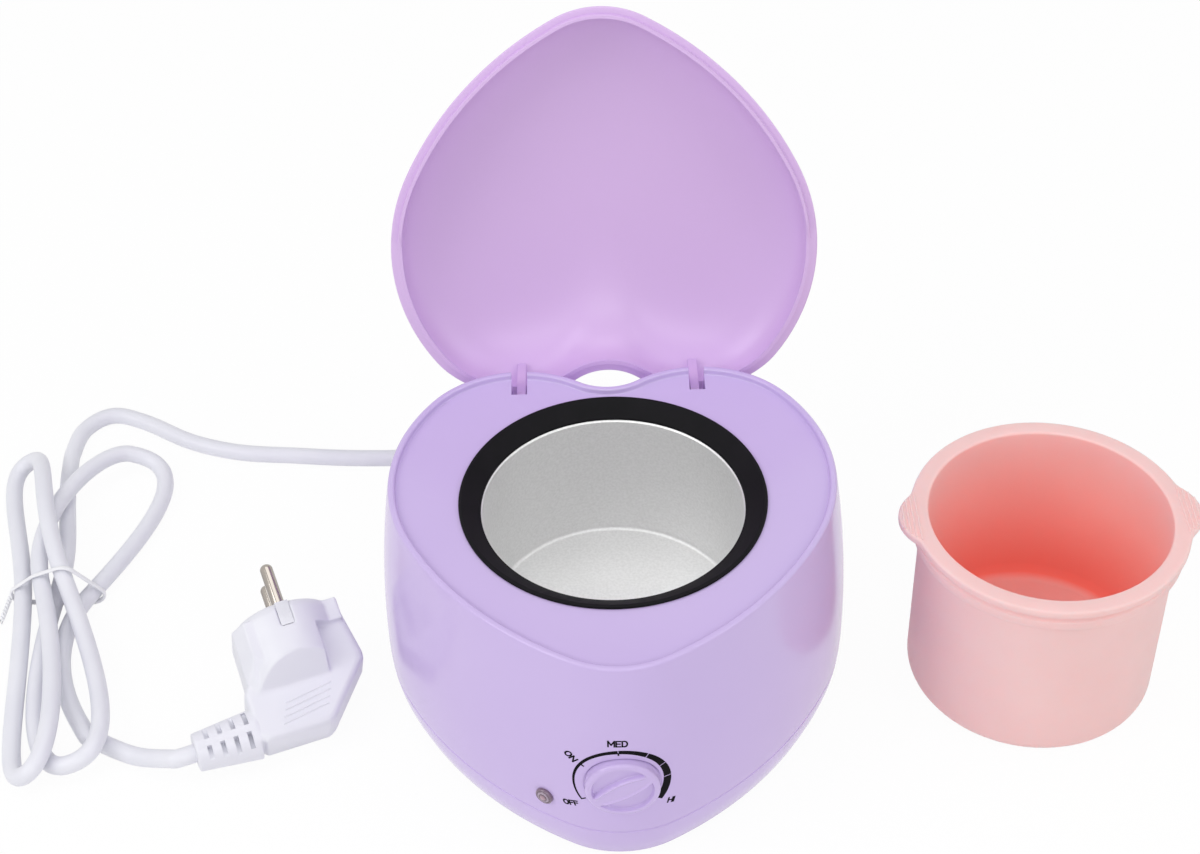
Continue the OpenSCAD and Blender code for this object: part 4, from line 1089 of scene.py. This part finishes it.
lens_ring_r = FLANK_R - wall_inset(LENS_Z)
lens_flat = flank_c + lens_ring_r * outward(-LENS_TURN)
lens_at = Vector((-lens_flat[0], lens_flat[1], LENS_Z))
dial_at = Vector((0, dial_seat, DIAL_Z))

block_half = SLOT_W / 2 + POCKET_WALL
blocks = [box_part((s * hinge_x - block_half, slot_front - POCKET_WALL, slot_low - POCKET_WALL),
                   (s * hinge_x + block_half, rear_y - 0.6 * MM, DECK_LOW + 1 * MM))
          for s in (-1, 1)]
pad = facing_front(rod(KNOB_R + 0.2 * MM, -3.6 * MM, -0.02 * MM, 96), dial_at)
combine(shell, merged(*blocks, pad), "UNION")
gaps = [box_part((s * hinge_x - SLOT_W / 2, slot_front, slot_low),
                 (s * hinge_x + SLOT_W / 2, rear_y + 20 * MM, RIM_Z + 5 * MM)) for s in (-1, 1)]
seat = facing_front(rod(KNOB_R + 0.5 * MM, 0, 12 * MM, 128), dial_at)
lens_hole = facing_front(rod(2.7 * MM, -8 * MM, 8 * MM, 48), lens_at, LENS_TURN)
combine(shell, merged(*gaps, seat, lens_hole), "DIFFERENCE")
dress(shell, "base", "lavender_shell", lavender, "outer_shell")
print(f"knob seat at y {dial_seat / MM:.2f} mm,",
      f"lens at {lens_at.x / MM:.1f}, {lens_at.y / MM:.1f} mm")

# %% [markdown]
# ## Base cover
# The tray under the seam closes the body. Its wall goes on the belly's curve and
# tucks in to the table; its floor has pockets for the feet and the screws, slots
# to let air in, and a notch at the back for the strain relief. The wall is a skin
# of rings again. The holes are plain and many, so they are cut as one solid.

# %% Loft the base and cut its floor
FLOOR_T = 3.5 * MM
FOOT_R, FOOT_DEEP = 6.15 * MM, 2 * MM
SCREW_POCKET_R = 3.5 * MM
EDGE_IN, EDGE_UP = 0.9 * MM, 0.8 * MM


def on_arc(centre, radius, degrees, inset):
    x, y = centre + (radius - inset) * outward(degrees)
    return x, y


rings = [heart_ring(wall_inset(0) + inset, 0) for inset in (2.8 * MM, EDGE_IN)]
rings += [heart_ring(wall_inset(EDGE_UP) + EDGE_IN * inset, EDGE_UP * rise)
          for rise, inset in rounded(1)[1:-1]]
rings += [wall_ring(z) for z in np.linspace(EDGE_UP, SEAM_Z - 0.5 * MM, 9)]
rings += [wall_ring(SEAM_Z, SEAM_BEVEL), wall_ring(SEAM_Z, WALL_T),
          wall_ring(9 * MM, WALL_T), wall_ring(FLOOR_T, WALL_T + 0.3 * MM)]
base = mesh_object("base_tray", *skin(rings, loop=True))
combine(base, prism([tuple(p) for p in heart(wall_inset(0) + 1.6 * MM)], 0, FLOOR_T), "UNION")

pockets = ((FOOT_R, on_arc(flank_c, FLANK_R, 36, 21 * MM)),
           (FOOT_R, on_arc(lobe_c, LOBE_R, 135, 22 * MM)),
           (SCREW_POCKET_R, on_arc(flank_c, FLANK_R, 45, 16 * MM)),
           (SCREW_POCKET_R, on_arc(side_c, SIDE_R, 100, 16 * MM)))
cuts = [moved(rod(radius, -1 * MM, FOOT_DEEP), Matrix.Translation((s * x, y, 0)))
        for s in (-1, 1) for radius, (x, y) in pockets]
for x in range(-24, 25, 8):
    half = (24 - abs(x) / 3) / 2
    cuts.append(box_part(((x - 1.5) * MM, (-26 - half) * MM, -1 * MM),
                         ((x + 1.5) * MM, (-26 + half) * MM, 6 * MM)))
cuts.append(facing_front(rod(4.85 * MM, -6 * MM, 8 * MM, 48), Vector((0, gland_wall, GLAND_Z))))
combine(base, merged(*cuts), "DIFFERENCE")
dress(base, "base", "lavender_shell", lavender, "base_cover")
print("base:", len(base.data.polygons), "faces,", len(cuts), "cuts")

# %% [markdown]
# ## Lid
# The lid is a shallow dome on the same heart. Towards its middle each ring blends
# from the heart into a circle, which softens the point and the cleft. A low lip
# inside the front half drops into the body's rim, and two goose-neck arms carry
# it on the hinge pins. It is built shut, where its edge is level with the rim, and
# then turned open about the hinge.

# %% Rings of the lid
LID_Z, LID_H, LID_T, LID_INSET = 91.8 * MM, 24 * MM, 2.4 * MM, 0.8 * MM
LID_OPEN = math.radians(-104.5)
LID_LIP, LIP_DROP, BACK_RISE = 1.6 * MM, 0.06 * MM, 0.9 * MM
LID_CROWN_R, LID_EDGE = 56 * MM, 0.5 * MM
lip_inset = LID_INSET + LIP_W + 0.2 * MM
inner_inset = lip_inset + 1.5 * MM
back_y = hinge_y - 2 * HINGE_IN
dome_steps = np.r_[0.994, 0.98, 0.965, 0.945, 0.92, 0.89, 0.85, np.linspace(0.8, 0.05, 16)]


def dome_rise(k):
    return (1 - k ** 2.6) ** (1 / 2.2)


def dome_ring(inset, k, z, fade):
    w = smooth(fade - k)
    made = []
    for x, y in heart(inset):
        a = math.atan2(y, x)
        made.append((k * (x + w * (LID_CROWN_R * math.cos(a) - x)),
                     k * (y + w * (LID_CROWN_R * math.sin(a) - y)), z))
    return made


def edge_z(y):
    return LID_Z + BACK_RISE * smooth((y - back_y) / (2 * HINGE_IN))


def edge_ring(inset, lift):
    return [(x, y, edge_z(y) + lift) for x, y in heart(inset)]


def lip_ring(inset, share):
    return [(x, y, edge_z(y) - LIP_DROP - share * smooth((6 * MM - y) / (5 * MM)) * LID_LIP)
            for x, y in heart(inset)]


print(f"lid: {LID_H / MM:.0f} mm high")

# %% Loft the dome
INNER_FOOT, INNER_FADE, OUTER_FOOT, OUTER_FADE = 0.6 * MM, 0.75, 1.4 * MM, 1.15
inner_rise, outer_rise = LID_H - LID_T - INNER_FOOT, LID_H - OUTER_FOOT
rings = [dome_ring(inner_inset, k, LID_Z + INNER_FOOT + inner_rise * dome_rise(k), INNER_FADE)
         for k in dome_steps[::-1]]
rings += [edge_ring(inner_inset, 0.2 * MM), lip_ring(inner_inset, 0.7),
          lip_ring(inner_inset - 0.3 * MM, 1), lip_ring(lip_inset + 0.3 * MM, 1),
          lip_ring(lip_inset, 0.7), edge_ring(lip_inset - 0.1 * MM, 0)]
rings += [edge_ring(LID_INSET + inset, rise) for rise, inset in rounded(LID_EDGE)]
rings += [dome_ring(LID_INSET, k, LID_Z + OUTER_FOOT + outer_rise * dome_rise(k), OUTER_FADE)
          for k in dome_steps]
dome = skin(rings, low=(0, 0, LID_Z + LID_H - LID_T), high=(0, 0, LID_Z + LID_H))
print("dome:", len(rings), "rings")

# %% Hinge arms, and the lid opened
EYE_R, PIN_BORE, ARM_T = 3.4 * MM, 1.56 * MM, 3.2 * MM
arm_x = hinge_x - SLOT_W / 2 + 0.7 * MM
eye = [(hinge_y + EYE_R * math.cos(a), HINGE_Z + EYE_R * math.sin(a))
       for a in np.linspace(math.pi, 2 * math.pi, 25)]
neck = eye + [(hinge_y + y * MM, z) for y, z in (
    (1.6, RIM_Z), (1.3, RIM_Z + 3.5 * MM), (0.6, RIM_Z + 7 * MM), (-1.2, RIM_Z + 9.6 * MM),
    (-4, RIM_Z + 11 * MM), (-6, RIM_Z + 9 * MM), (-5.6, RIM_Z + 4 * MM), (-5, RIM_Z))]
hinge = Matrix.Translation((0, hinge_y, HINGE_Z))
arms, bores = [], []
for low in (arm_x, -arm_x - ARM_T):
    arms.append(moved(prism(neck, low, low + ARM_T), LENGTHWAYS))
    bore = rod(PIN_BORE, low - 1 * MM, low + ARM_T + 1 * MM, 32)
    bores.append(moved(moved(bore, LENGTHWAYS), hinge))
lid = mesh_object("lid_dome", *merged(dome, *arms))
combine(lid, merged(*bores), "DIFFERENCE")
lid.data.transform(hinge @ Matrix.Rotation(LID_OPEN, 4, "X") @ hinge.inverted())
print("lid:", len(lid.data.polygons), "faces, open", round(-math.degrees(LID_OPEN), 1), "degrees")

# %% [markdown]
# The lid is the body's plastic, but the inside of its dish catches light that has
# already bounced off itself. That light is painted in: the inside is a lighter,
# pinker lavender than the outside. A mask on the way a face looks, in the lid's
# own frame, tells the two sides apart.

# %% Finish of the lid
lid_lavender, tree = blank_material("lavender_lid")
marks = skin_marks(tree, LAVENDER, LAVENDER_DRIFT, rough=(0.28, 0.36),
                   grain=LAVENDER_GRAIN, size=LAVENDER_SIZE)
facing = add(tree, "ShaderNodeTexCoord").outputs["Normal"]
outside_way = (0, -math.sin(LID_OPEN), math.cos(LID_OPEN))
looks_out = vector(tree, "DOT_PRODUCT", facing, outside_way)["Value"]
painted_inside_light = ranged(tree, looks_out, 1.0, 0.0, -0.15, 0.15)
# Painted light: the inside faces take a lighter, pinker lavender for light bounced inside the dish.
shaded(tree, {"Base Color": mixed(tree, painted_inside_light, marks["Colour"], rgba(0.690, 0.485, 0.800)),
              "Roughness": marks["Roughness"],
              "Normal": bumped(tree, marks["Height"], LAVENDER_DEPTH)})
dress(lid, "lid", "lavender_shell", lid_lavender, "lid")
print("material:", lid_lavender.name)

# %% [markdown]
# ## Well
# The well is an aluminium cup that hangs by its flange under a black ring.
# Both are turned parts, so each is a profile swept once round the axis. The
# ring's top slopes down into the mouth.

# %% Turn the ring
ring_profile = [(r * MM, z * MM) for r, z in (
    (51.2, 89.35), (53.75, 89.35), (54, 89.55), (54, 89.85), (53.85, 90.2), (53.5, 90.4),
    (52.95, 90.42), (52.5, 90.25), (47.6, 86.9), (46.95, 86.5), (46.5, 86.25), (46.34, 85.9),
    (46.3, 85.4), (51.2, 85.4))]
ring = mesh_object("well_ring_turned", *turned_part(ring_profile, 160, loop=True))
dress(ring, "base", "black_ring", ring_black, "well_ring")
print("ring:", len(ring.data.polygons), "faces")

# %% Turn the cup of the well
WELL_R, WELL_FLOOR, WELL_TOP = 46 * MM, 30.8 * MM, 85.4 * MM
WELL_CORNER, WELL_T, WELL_FLANGE, WELL_LIP = 1.5 * MM, 1.2 * MM, 50.8 * MM, 0.8 * MM


def cup_side(radius, corner, floor, top):
    """A cup's wall and floor from the rim down to the middle."""
    made = [(radius, z) for z in np.linspace(top, floor + corner, 8)]
    made += [(radius - corner * (1 - math.cos(a)), floor + corner * (1 - math.sin(a)))
             for a in np.linspace(0, math.pi / 2, 10)[1:]]
    return made + [((radius - corner) * k, floor) for k in (0.75, 0.5, 0.25, 0.0)]


under_flange = WELL_TOP - WELL_T
cup_profile = [(WELL_FLANGE, under_flange), (WELL_FLANGE, WELL_TOP), (WELL_R + WELL_LIP, WELL_TOP)]
cup_profile += cup_side(WELL_R, WELL_CORNER, WELL_FLOOR, WELL_TOP - WELL_LIP)
cup_profile += cup_side(WELL_R + WELL_T, WELL_CORNER + WELL_T,
                        WELL_FLOOR - WELL_T, under_flange)[::-1]
cup = mesh_object("spun_well", *turned_part(cup_profile, 160, loop=True))
dress(cup, "base", "aluminium_pot", aluminium, "heating_pot")
print("well:", len(cup.data.polygons), "faces")

# %% [markdown]
# ## Knob
# The knob is a disc with a raised edge and a grip bar across it that swells in
# the middle and has a bead along each side; the two hollows beside the bar are
# scooped for finger and thumb. A height over each place on the disc says all of
# that, so the face is a polar grid raised by a function.

# %% Raise the knob's face
DIAL_OFF = math.radians(212)
KNOB_EDGE, KNOB_LAND, KNOB_SCOOP = 1.3 * MM, 2.0 * MM, 1.4 * MM
BAR_HALF, BAR_SWELL, BAR_BEAD = 1.7 * MM, 1.9 * MM, 0.5 * MM
KNOB_STEPS, KNOB_BORE, BORE_TOP = 240, 2.4 * MM, 3.0 * MM
SCOOP_R, SCOOP_RAMP, BEAD_RAMP = KNOB_R - KNOB_LAND, 0.7 * MM, 0.9 * MM


def knob_height(r, a):
    u, v = r * math.cos(a), abs(r * math.sin(a))
    past = max(0.0, (r - KNOB_R + KNOB_EDGE) / KNOB_EDGE)
    top = KNOB_H - KNOB_EDGE * (1 - math.sqrt(max(0.0, 1 - past ** 2)))
    side = BAR_HALF + BAR_SWELL * (1 - (u / SCOOP_R) ** 2)
    scooped = smooth((SCOOP_R - r) / SCOOP_RAMP) * smooth((v - side) / SCOOP_RAMP)
    beaded = smooth(1 - abs(v - side + 0.3 * MM) / BEAD_RAMP) * smooth((SCOOP_R - r) / (2 * MM))
    return top + BAR_BEAD * beaded - KNOB_SCOOP * scooped


edge_turns = np.radians((15, 30, 45, 60, 72, 82, 90))
radii = np.r_[np.linspace(0.25 * MM, KNOB_R - 1.5 * MM, 56),
              KNOB_R - KNOB_EDGE * (1 - np.sin(edge_turns))]
knob_turns = [2 * math.pi * i / KNOB_STEPS for i in range(KNOB_STEPS)]


def knob_ring(r, z=None):
    """A ring at one height, or raised to the knob's face."""
    return [(r * math.cos(a + DIAL_OFF), r * math.sin(a + DIAL_OFF),
             knob_height(r, a) if z is None else z) for a in knob_turns]


rings = [knob_ring(r) for r in radii]
rings += [knob_ring(r, z) for r, z in (
    (KNOB_R, 2.5 * MM), (KNOB_R, KNOB_GAP), (8 * MM, KNOB_GAP), (8 * MM, KNOB_BORE),
    (3.02 * MM, KNOB_BORE), (3.02 * MM, BORE_TOP))]
knob_part = skin(rings, low=(0, 0, knob_height(0, 0)), high=(0, 0, BORE_TOP))
knob = mesh_object("dial_knob", *facing_front(knob_part, dial_at))
dress(knob, "dial", "lavender_shell", lavender, "knob")
print("knob:", len(knob.data.polygons), "faces")

# %% [markdown]
# ## Indicator lens
# A smoky plastic lens snaps into the wall beside the dial. It has a dark bezel, a
# paler ring and a pinkish middle, where the lamp stands behind it, so its colour
# follows the distance from the lens's own axis.

# %% Finish of the lens
smoky, tree = blank_material("smoky_lens")
lens_turn = math.radians(LENS_TURN)
lens_axis = (math.sin(lens_turn), -math.cos(lens_turn), 0)
from_lens = vector(tree, "SUBTRACT", millimetres(tree), tuple(lens_at / MM))[0]
off_axis = vector(tree, "CROSS_PRODUCT", from_lens, lens_axis)[0]
from_axis = vector(tree, "LENGTH", off_axis)["Value"]
zones = add(tree, "ShaderNodeValToRGB", {0: ranged(tree, from_axis, 0.0, 1.0, 0.0, 4.0)})
DARK_RING = (0.10, 0.06, 0.09)
ramp = zones.color_ramp.elements
ramp[0].color, ramp[1].color = rgba(0.46, 0.28, 0.34), rgba(0.19, 0.12, 0.18)
ramp[1].position = 0.68
for place, colour in ((0.24, (0.36, 0.23, 0.29)), (0.36, DARK_RING), (0.45, (0.40, 0.31, 0.40)),
                      (0.54, (0.36, 0.27, 0.36)), (0.61, DARK_RING)):
    ramp.new(place).color = rgba(*colour)
marks = add(tree, "ShaderNodeGroup", {"Bright Roughness": 0.12, "Dull Roughness": 0.2},
            node_tree=moulded_skin).outputs
shaded(tree, {"Base Color": zones.outputs[0], "Roughness": marks["Roughness"], "Coat Weight": 0.5})
print("material:", smoky.name)

# %% Turn the lens
lens_profile = [(r * MM, z * MM) for r, z in (
    (0, 1.9), (0.6, 1.86), (1.05, 1.72), (1.3, 1.5), (1.45, 1.38), (1.6, 1.5), (1.85, 1.55),
    (2.15, 1.45), (2.35, 1.2), (2.5, 1.08), (2.65, 1.2), (2.9, 1.2), (3.15, 1.0), (3.3, 0.65),
    (3.3, 0.15), (2.6, 0.15), (2.6, -5.0), (0, -5.0))]
lens_cap = mesh_object("lens_cap", *facing_front(turned_part(lens_profile, 64), lens_at, LENS_TURN))
dress(lens_cap, "base", "lens", smoky, "indicator_lens")
print("lens:", len(lens_cap.data.polygons), "faces")

# %% [markdown]
# ## Dial print
# The scale is printed on the wall round the knob: a band that thickens from off
# to high, with pale divisions, and four words. An image on the wall would blur from
# near by; flat shapes stay sharp. Each is laid on the wall by the wall's own
# formula and lifted by the thickness of the ink.

# %% Lay flat shapes on the front wall
INK = 0.05 * MM


def on_wall(u, v):
    """The place on the wall in front of a point u across, v above the dial."""
    z = DIAL_Z + v
    inset = wall_inset(z)
    if abs(u) < (TIP_R - inset) * math.sin(math.radians(turn_1)):
        y = tip_c[1] - math.sqrt((TIP_R - inset) ** 2 - u ** 2)
    else:
        y = flank_c[1] - math.sqrt((FLANK_R - inset) ** 2 - (abs(u) - flank_c[0]) ** 2)
    return u, y - INK, z


def strip(edges):
    """A strip of quads through pairs of (u, v) places."""
    points = [on_wall(*p) for pair in edges for p in pair]
    return points, [(2 * i, 2 * i + 1, 2 * i + 3, 2 * i + 2) for i in range(len(edges) - 1)]


print(f"ink: {INK / MM:.2f} mm thick")

# %% Band of the scale
SCALE_R = 16.6 * MM
SCALE_AT = (-0.2 * MM, 0.35 * MM)
SCALE_OFF, SCALE_ON, SCALE_MED, SCALE_HI = 213, 149, 94, -35
SCALE_CUTS = (94, 57, 28, 3.5)
CUT_HALF = 0.5


def polar(r, degrees):
    a = math.radians(degrees)
    return SCALE_AT[0] + r * math.cos(a), SCALE_AT[1] + r * math.sin(a)


def band_width(a):
    share = (SCALE_OFF - a) / (SCALE_OFF - SCALE_HI)
    return (0.6 + 2.4 * share ** 1.3) * MM


def tick(degrees, inner, outer, half):
    """A short radial line."""
    a = math.radians(degrees)
    aside = half * np.array((math.sin(a), -math.cos(a)))
    return strip([(polar(r, degrees) - aside, polar(r, degrees) + aside) for r in (inner, outer)])


print_parts = []
stops = (SCALE_OFF,) + SCALE_CUTS + (SCALE_HI,)
for i in range(len(stops) - 1):
    start = stops[i] - (CUT_HALF if i else 0)
    stop = stops[i + 1] + (CUT_HALF if i + 2 < len(stops) else 0)
    print_parts.append(strip([(polar(SCALE_R, a), polar(SCALE_R - band_width(a), a))
                              for a in np.linspace(start, stop, 3 + int(start - stop) // 2)]))
for at, *sizes in ((SCALE_ON, 14.6, 16.2, 0.3), (SCALE_MED, 14.3, 15.6, 0.3),
                   (SCALE_OFF, 14.6, 16.6, 0.25), (SCALE_HI, 13.2, 16.6, 0.3)):
    print_parts.append(tick(at, *(size * MM for size in sizes)))
print("scale:", len(print_parts), "parts")

# %% [markdown]
# The words are drawn as pen strokes, since a text object would bring a typeface of
# its own and could not follow the wall. A letter is a few lines in a box one unit
# high; each piece of a line becomes a short bar with the pen's width.

# %% Letters
def bow(centre, start, stop, steps=18):
    """Part of the round of an O, 0.76 wide and 1 high."""
    return [(centre + 0.38 * math.cos(a), 0.5 + 0.5 * math.sin(a))
            for a in np.radians(np.linspace(start, stop, steps + 1))]


LETTERS = {
    "O": (0.76, [bow(0.38, 0, 360)]),
    "N": (0.72, [[(0, 0), (0, 1), (0.72, 0), (0.72, 1)]]),
    "F": (0.58, [[(0, 0), (0, 1), (0.58, 1)], [(0, 0.52), (0.5, 0.52)]]),
    "M": (0.86, [[(0, 0), (0, 1), (0.43, 0.3), (0.86, 1), (0.86, 0)]]),
    "E": (0.58, [[(0.58, 0), (0, 0), (0, 1), (0.58, 1)], [(0, 0.52), (0.5, 0.52)]]),
    "D": (0.68, [[(0.3, 0), (0, 0), (0, 1), (0.3, 1)], bow(0.3, 90, -90)]),
    "H": (0.7, [[(0, 0), (0, 1)], [(0.7, 0), (0.7, 1)], [(0, 0.5), (0.7, 0.5)]]),
    "I": (0, [[(0, 0), (0, 1)]])}
print("letters:", " ".join(LETTERS))

# %% Words of the scale
PEN, LETTER_GAP = 0.28 * MM, 0.26


def word(text, u, v, slant, cap):
    """Strokes of a word, cap high, its middle u across and v above the dial."""
    total = sum(LETTERS[c][0] for c in text) + LETTER_GAP * (len(text) - 1)
    turn = Matrix.Rotation(math.radians(slant), 2)
    at = -total / 2
    bars = []
    for c in text:
        width, lines = LETTERS[c]
        for line in lines:
            spots = [np.array((u, v)) + np.array(turn @ Vector((at + x, y - 0.5))) * cap
                     for x, y in line]
            for p, q in zip(spots, spots[1:]):
                ahead = unit(q - p) * PEN
                aside = np.array((-ahead[1], ahead[0]))
                bars.append(strip([(end + aside, end - aside) for end in (p - ahead, q + ahead)]))
        at += width + LETTER_GAP
    return bars


for text, u, v, slant, cap in (("OFF", -17.6, -12.2, 16, 2.0), ("ON", -17.0, 11.0, -45, 2.3),
                               ("MED", -1.4, 20.0, 0, 2.4), ("HI", 16.4, -11.6, -14, 2.1)):
    print_parts += word(text, u * MM, v * MM, slant, cap * MM)
scale = mesh_object("dial_scale", *merged(*print_parts))
dress(scale, "base", None, dial_ink)
print("scale:", len(scale.data.polygons), "faces")

# %% [markdown]
# ## Strain relief
# The sleeve at the back keeps the lead from kinking where it leaves the body. It
# tapers towards its end and is slotted across the top, so that it bends. The
# sleeve is turned from a profile and the slots are cut as solids.

# %% Turn and slot the sleeve
SLEEVE_END, SLEEVE_ROOT, SLEEVE_NECK = 4.2 * MM, 5.4 * MM, 4.8 * MM
COLLAR_W, COLLAR_T, CORD_GRIP = 1.8 * MM, 2 * MM, 0.1 * MM
neck_end = gland_end - (gland_wall - WALL_T - COLLAR_W)
sleeve_bore = CORD_D / 2 - CORD_GRIP
sleeve_profile = [
    (sleeve_bore, 0), (SLEEVE_END - 0.4 * MM, 0), (SLEEVE_END, 0.4 * MM),
    (SLEEVE_ROOT - 0.1 * MM, GLAND_LEN - 7 * MM), (SLEEVE_ROOT, GLAND_LEN - 6.5 * MM),
    (SLEEVE_ROOT, GLAND_LEN - 5 * MM), (SLEEVE_NECK, GLAND_LEN - 5 * MM), (SLEEVE_NECK, neck_end),
    (SLEEVE_NECK + COLLAR_W, neck_end), (SLEEVE_NECK + COLLAR_W, neck_end + COLLAR_T),
    (sleeve_bore, neck_end + COLLAR_T)]
sleeve = mesh_object("strain_relief", *facing_front(turned_part(sleeve_profile, 64, loop=True),
                                                    Vector((0, gland_end, GLAND_Z))))
slots = [box_part((-10 * MM, gland_end - (6 + 3.6 * i) * MM, GLAND_Z + SLEEVE_END - 1.6 * MM),
                  (10 * MM, gland_end - (4.4 + 3.6 * i) * MM, GLAND_Z + 10 * MM)) for i in range(5)]
combine(sleeve, merged(*slots), "DIFFERENCE")
dress(sleeve, "base", "white_pvc", white_pvc, "cord_gland")
print("sleeve:", len(sleeve.data.polygons), "faces")

# %% [markdown]
# ## Silicone pot
# The loose pot drops into the well. It is a thick, soft cup with a bead and a flat
# flange, and the flange grows into two ribbed ears to lift it by. Every ring is a
# circle, except the flange's, whose radius swells smoothly where the ears are.

# %% Mould the pot
POT_R, POT_H, POT_T = 45.2 * MM, 77 * MM, 2.2 * MM
POT_CORNER, POT_INNER_CORNER = 5 * MM, 3 * MM
FLANGE_R, FLANGE_T, EAR_OUT, EAR_R = 49.3 * MM, 3 * MM, 4.5 * MM, 15 * MM
EDGE, EAR_BLEND, POT_STEPS = 0.8 * MM, 1.0 * MM, 216
ear_c = FLANGE_R + EAR_OUT - EAR_R
pot_angles = [2 * math.pi * i / POT_STEPS for i in range(POT_STEPS)]


def flange_reach(a):
    off = ear_c * abs(math.sin(a))
    ear = ear_c * abs(math.cos(a)) + math.sqrt(EAR_R ** 2 - off ** 2) if off < EAR_R else 0.0
    return 0.5 * (FLANGE_R + ear + math.sqrt((FLANGE_R - ear) ** 2 + EAR_BLEND ** 2))


def pot_ring(r, z):
    return [(r * math.cos(a), r * math.sin(a), z) for a in pot_angles]


def flange_ring(inset, z):
    return [(r * math.cos(a), r * math.sin(a), z)
            for a, r in ((a, flange_reach(a) - inset) for a in pot_angles)]


outer = [(POT_R - POT_CORNER * (1 - math.sin(a)), POT_CORNER * (1 - math.cos(a)))
         for a in np.linspace(0, math.pi / 2, 8)]
outer += [(POT_R, z) for z in np.linspace(POT_CORNER, POT_H - 10.4 * MM, 8)[1:]]
outer += [(POT_R + r * MM, POT_H - z * MM) for r, z in (
    (0.9, 10.3), (2.1, 10.1), (2.6, 9.7), (2.85, 9.2), (2.85, 6.6), (2.75, 6.2), (2.4, 5.9),
    (2.1, 5.5), (2.0, 5.0), (2.0, 3.9), (2.1, 3.4), (2.4, 3.1), (2.8, 3.0))]
inner = cup_side(POT_R - POT_T, POT_INNER_CORNER, POT_T, POT_H - EDGE)[:-1]
rings = [pot_ring(*p) for p in outer]
rings += [flange_ring(inset, POT_H - FLANGE_T + rise) for rise, inset in rounded(EDGE)]
rings += [flange_ring(inset, POT_H - drop) for inset, drop in rounded(EDGE)]
rings += [pot_ring(POT_R - POT_T + out, POT_H - drop) for drop, out in rounded(EDGE)[:-1]]
rings += [pot_ring(*p) for p in inner]
pot = mesh_object("silicone_cup", *skin(rings, low=(0, 0, 0), high=(0, 0, POT_T)))
print("pot:", len(rings), "rings")

# %% [markdown]
# The ribs give the fingers a hold. A bump in the finish would be flat at the
# ear's outline, so they are thin bars, joined on as solids.

# %% Ribs of the ears
RIB_PITCH, RIB_W = 1.7 * MM, 0.8 * MM
ribs = []
for side in (-1, 1):
    for i in range(4):
        from_ear = EAR_R - 1.6 * MM - RIB_PITCH * i
        half = math.sqrt(EAR_R ** 2 - from_ear ** 2) - 0.9 * MM
        x = side * (ear_c + from_ear)
        rib_path = [np.array((x, half * k, POT_H)) for k in (-1, -0.5, 0, 0.5, 1)]
        ribs.append(swept(rib_path, oval(RIB_W, RIB_W)))
combine(pot, merged(*ribs), "UNION")
pot.data.transform(Matrix.Translation((*POT_AT, TABLE_Z)))
dress(pot, "wax_pot", "silicone", silicone, "silicone_pot")
print("pot:", len(pot.data.polygons), "faces")

# %% [markdown]
# ## Remaining nodes
# Each CAD node that is still shown takes the finish of its slot.

# %% Finish the remaining nodes
slot_finish = {
    "lavender_shell": lavender, "black_ring": ring_black, "aluminium_pot": aluminium,
    "rubber": foot_rubber, "steel": zinc_steel, "mica": mica, "fuse": aluminium,
    "thermostat": case_cream, "lens": case_cream, "neon": case_cream,
    "white_nylon": white_nylon, "brass": brass, "silicone": silicone,
    "white_pvc": white_pvc, "nickel": nickel, **lead_sleeves}
for row in frame["record"]["subparts"]:
    shown = nodes[row["node"]]
    shown.data.materials.clear()
    shown.data.materials.append(slot_finish[row["material_slot"]])
nodes["plug_earth"].data.materials[0] = satin_nickel
print(len(nodes), "nodes finished")

# %% End of the scene
print("scene done")
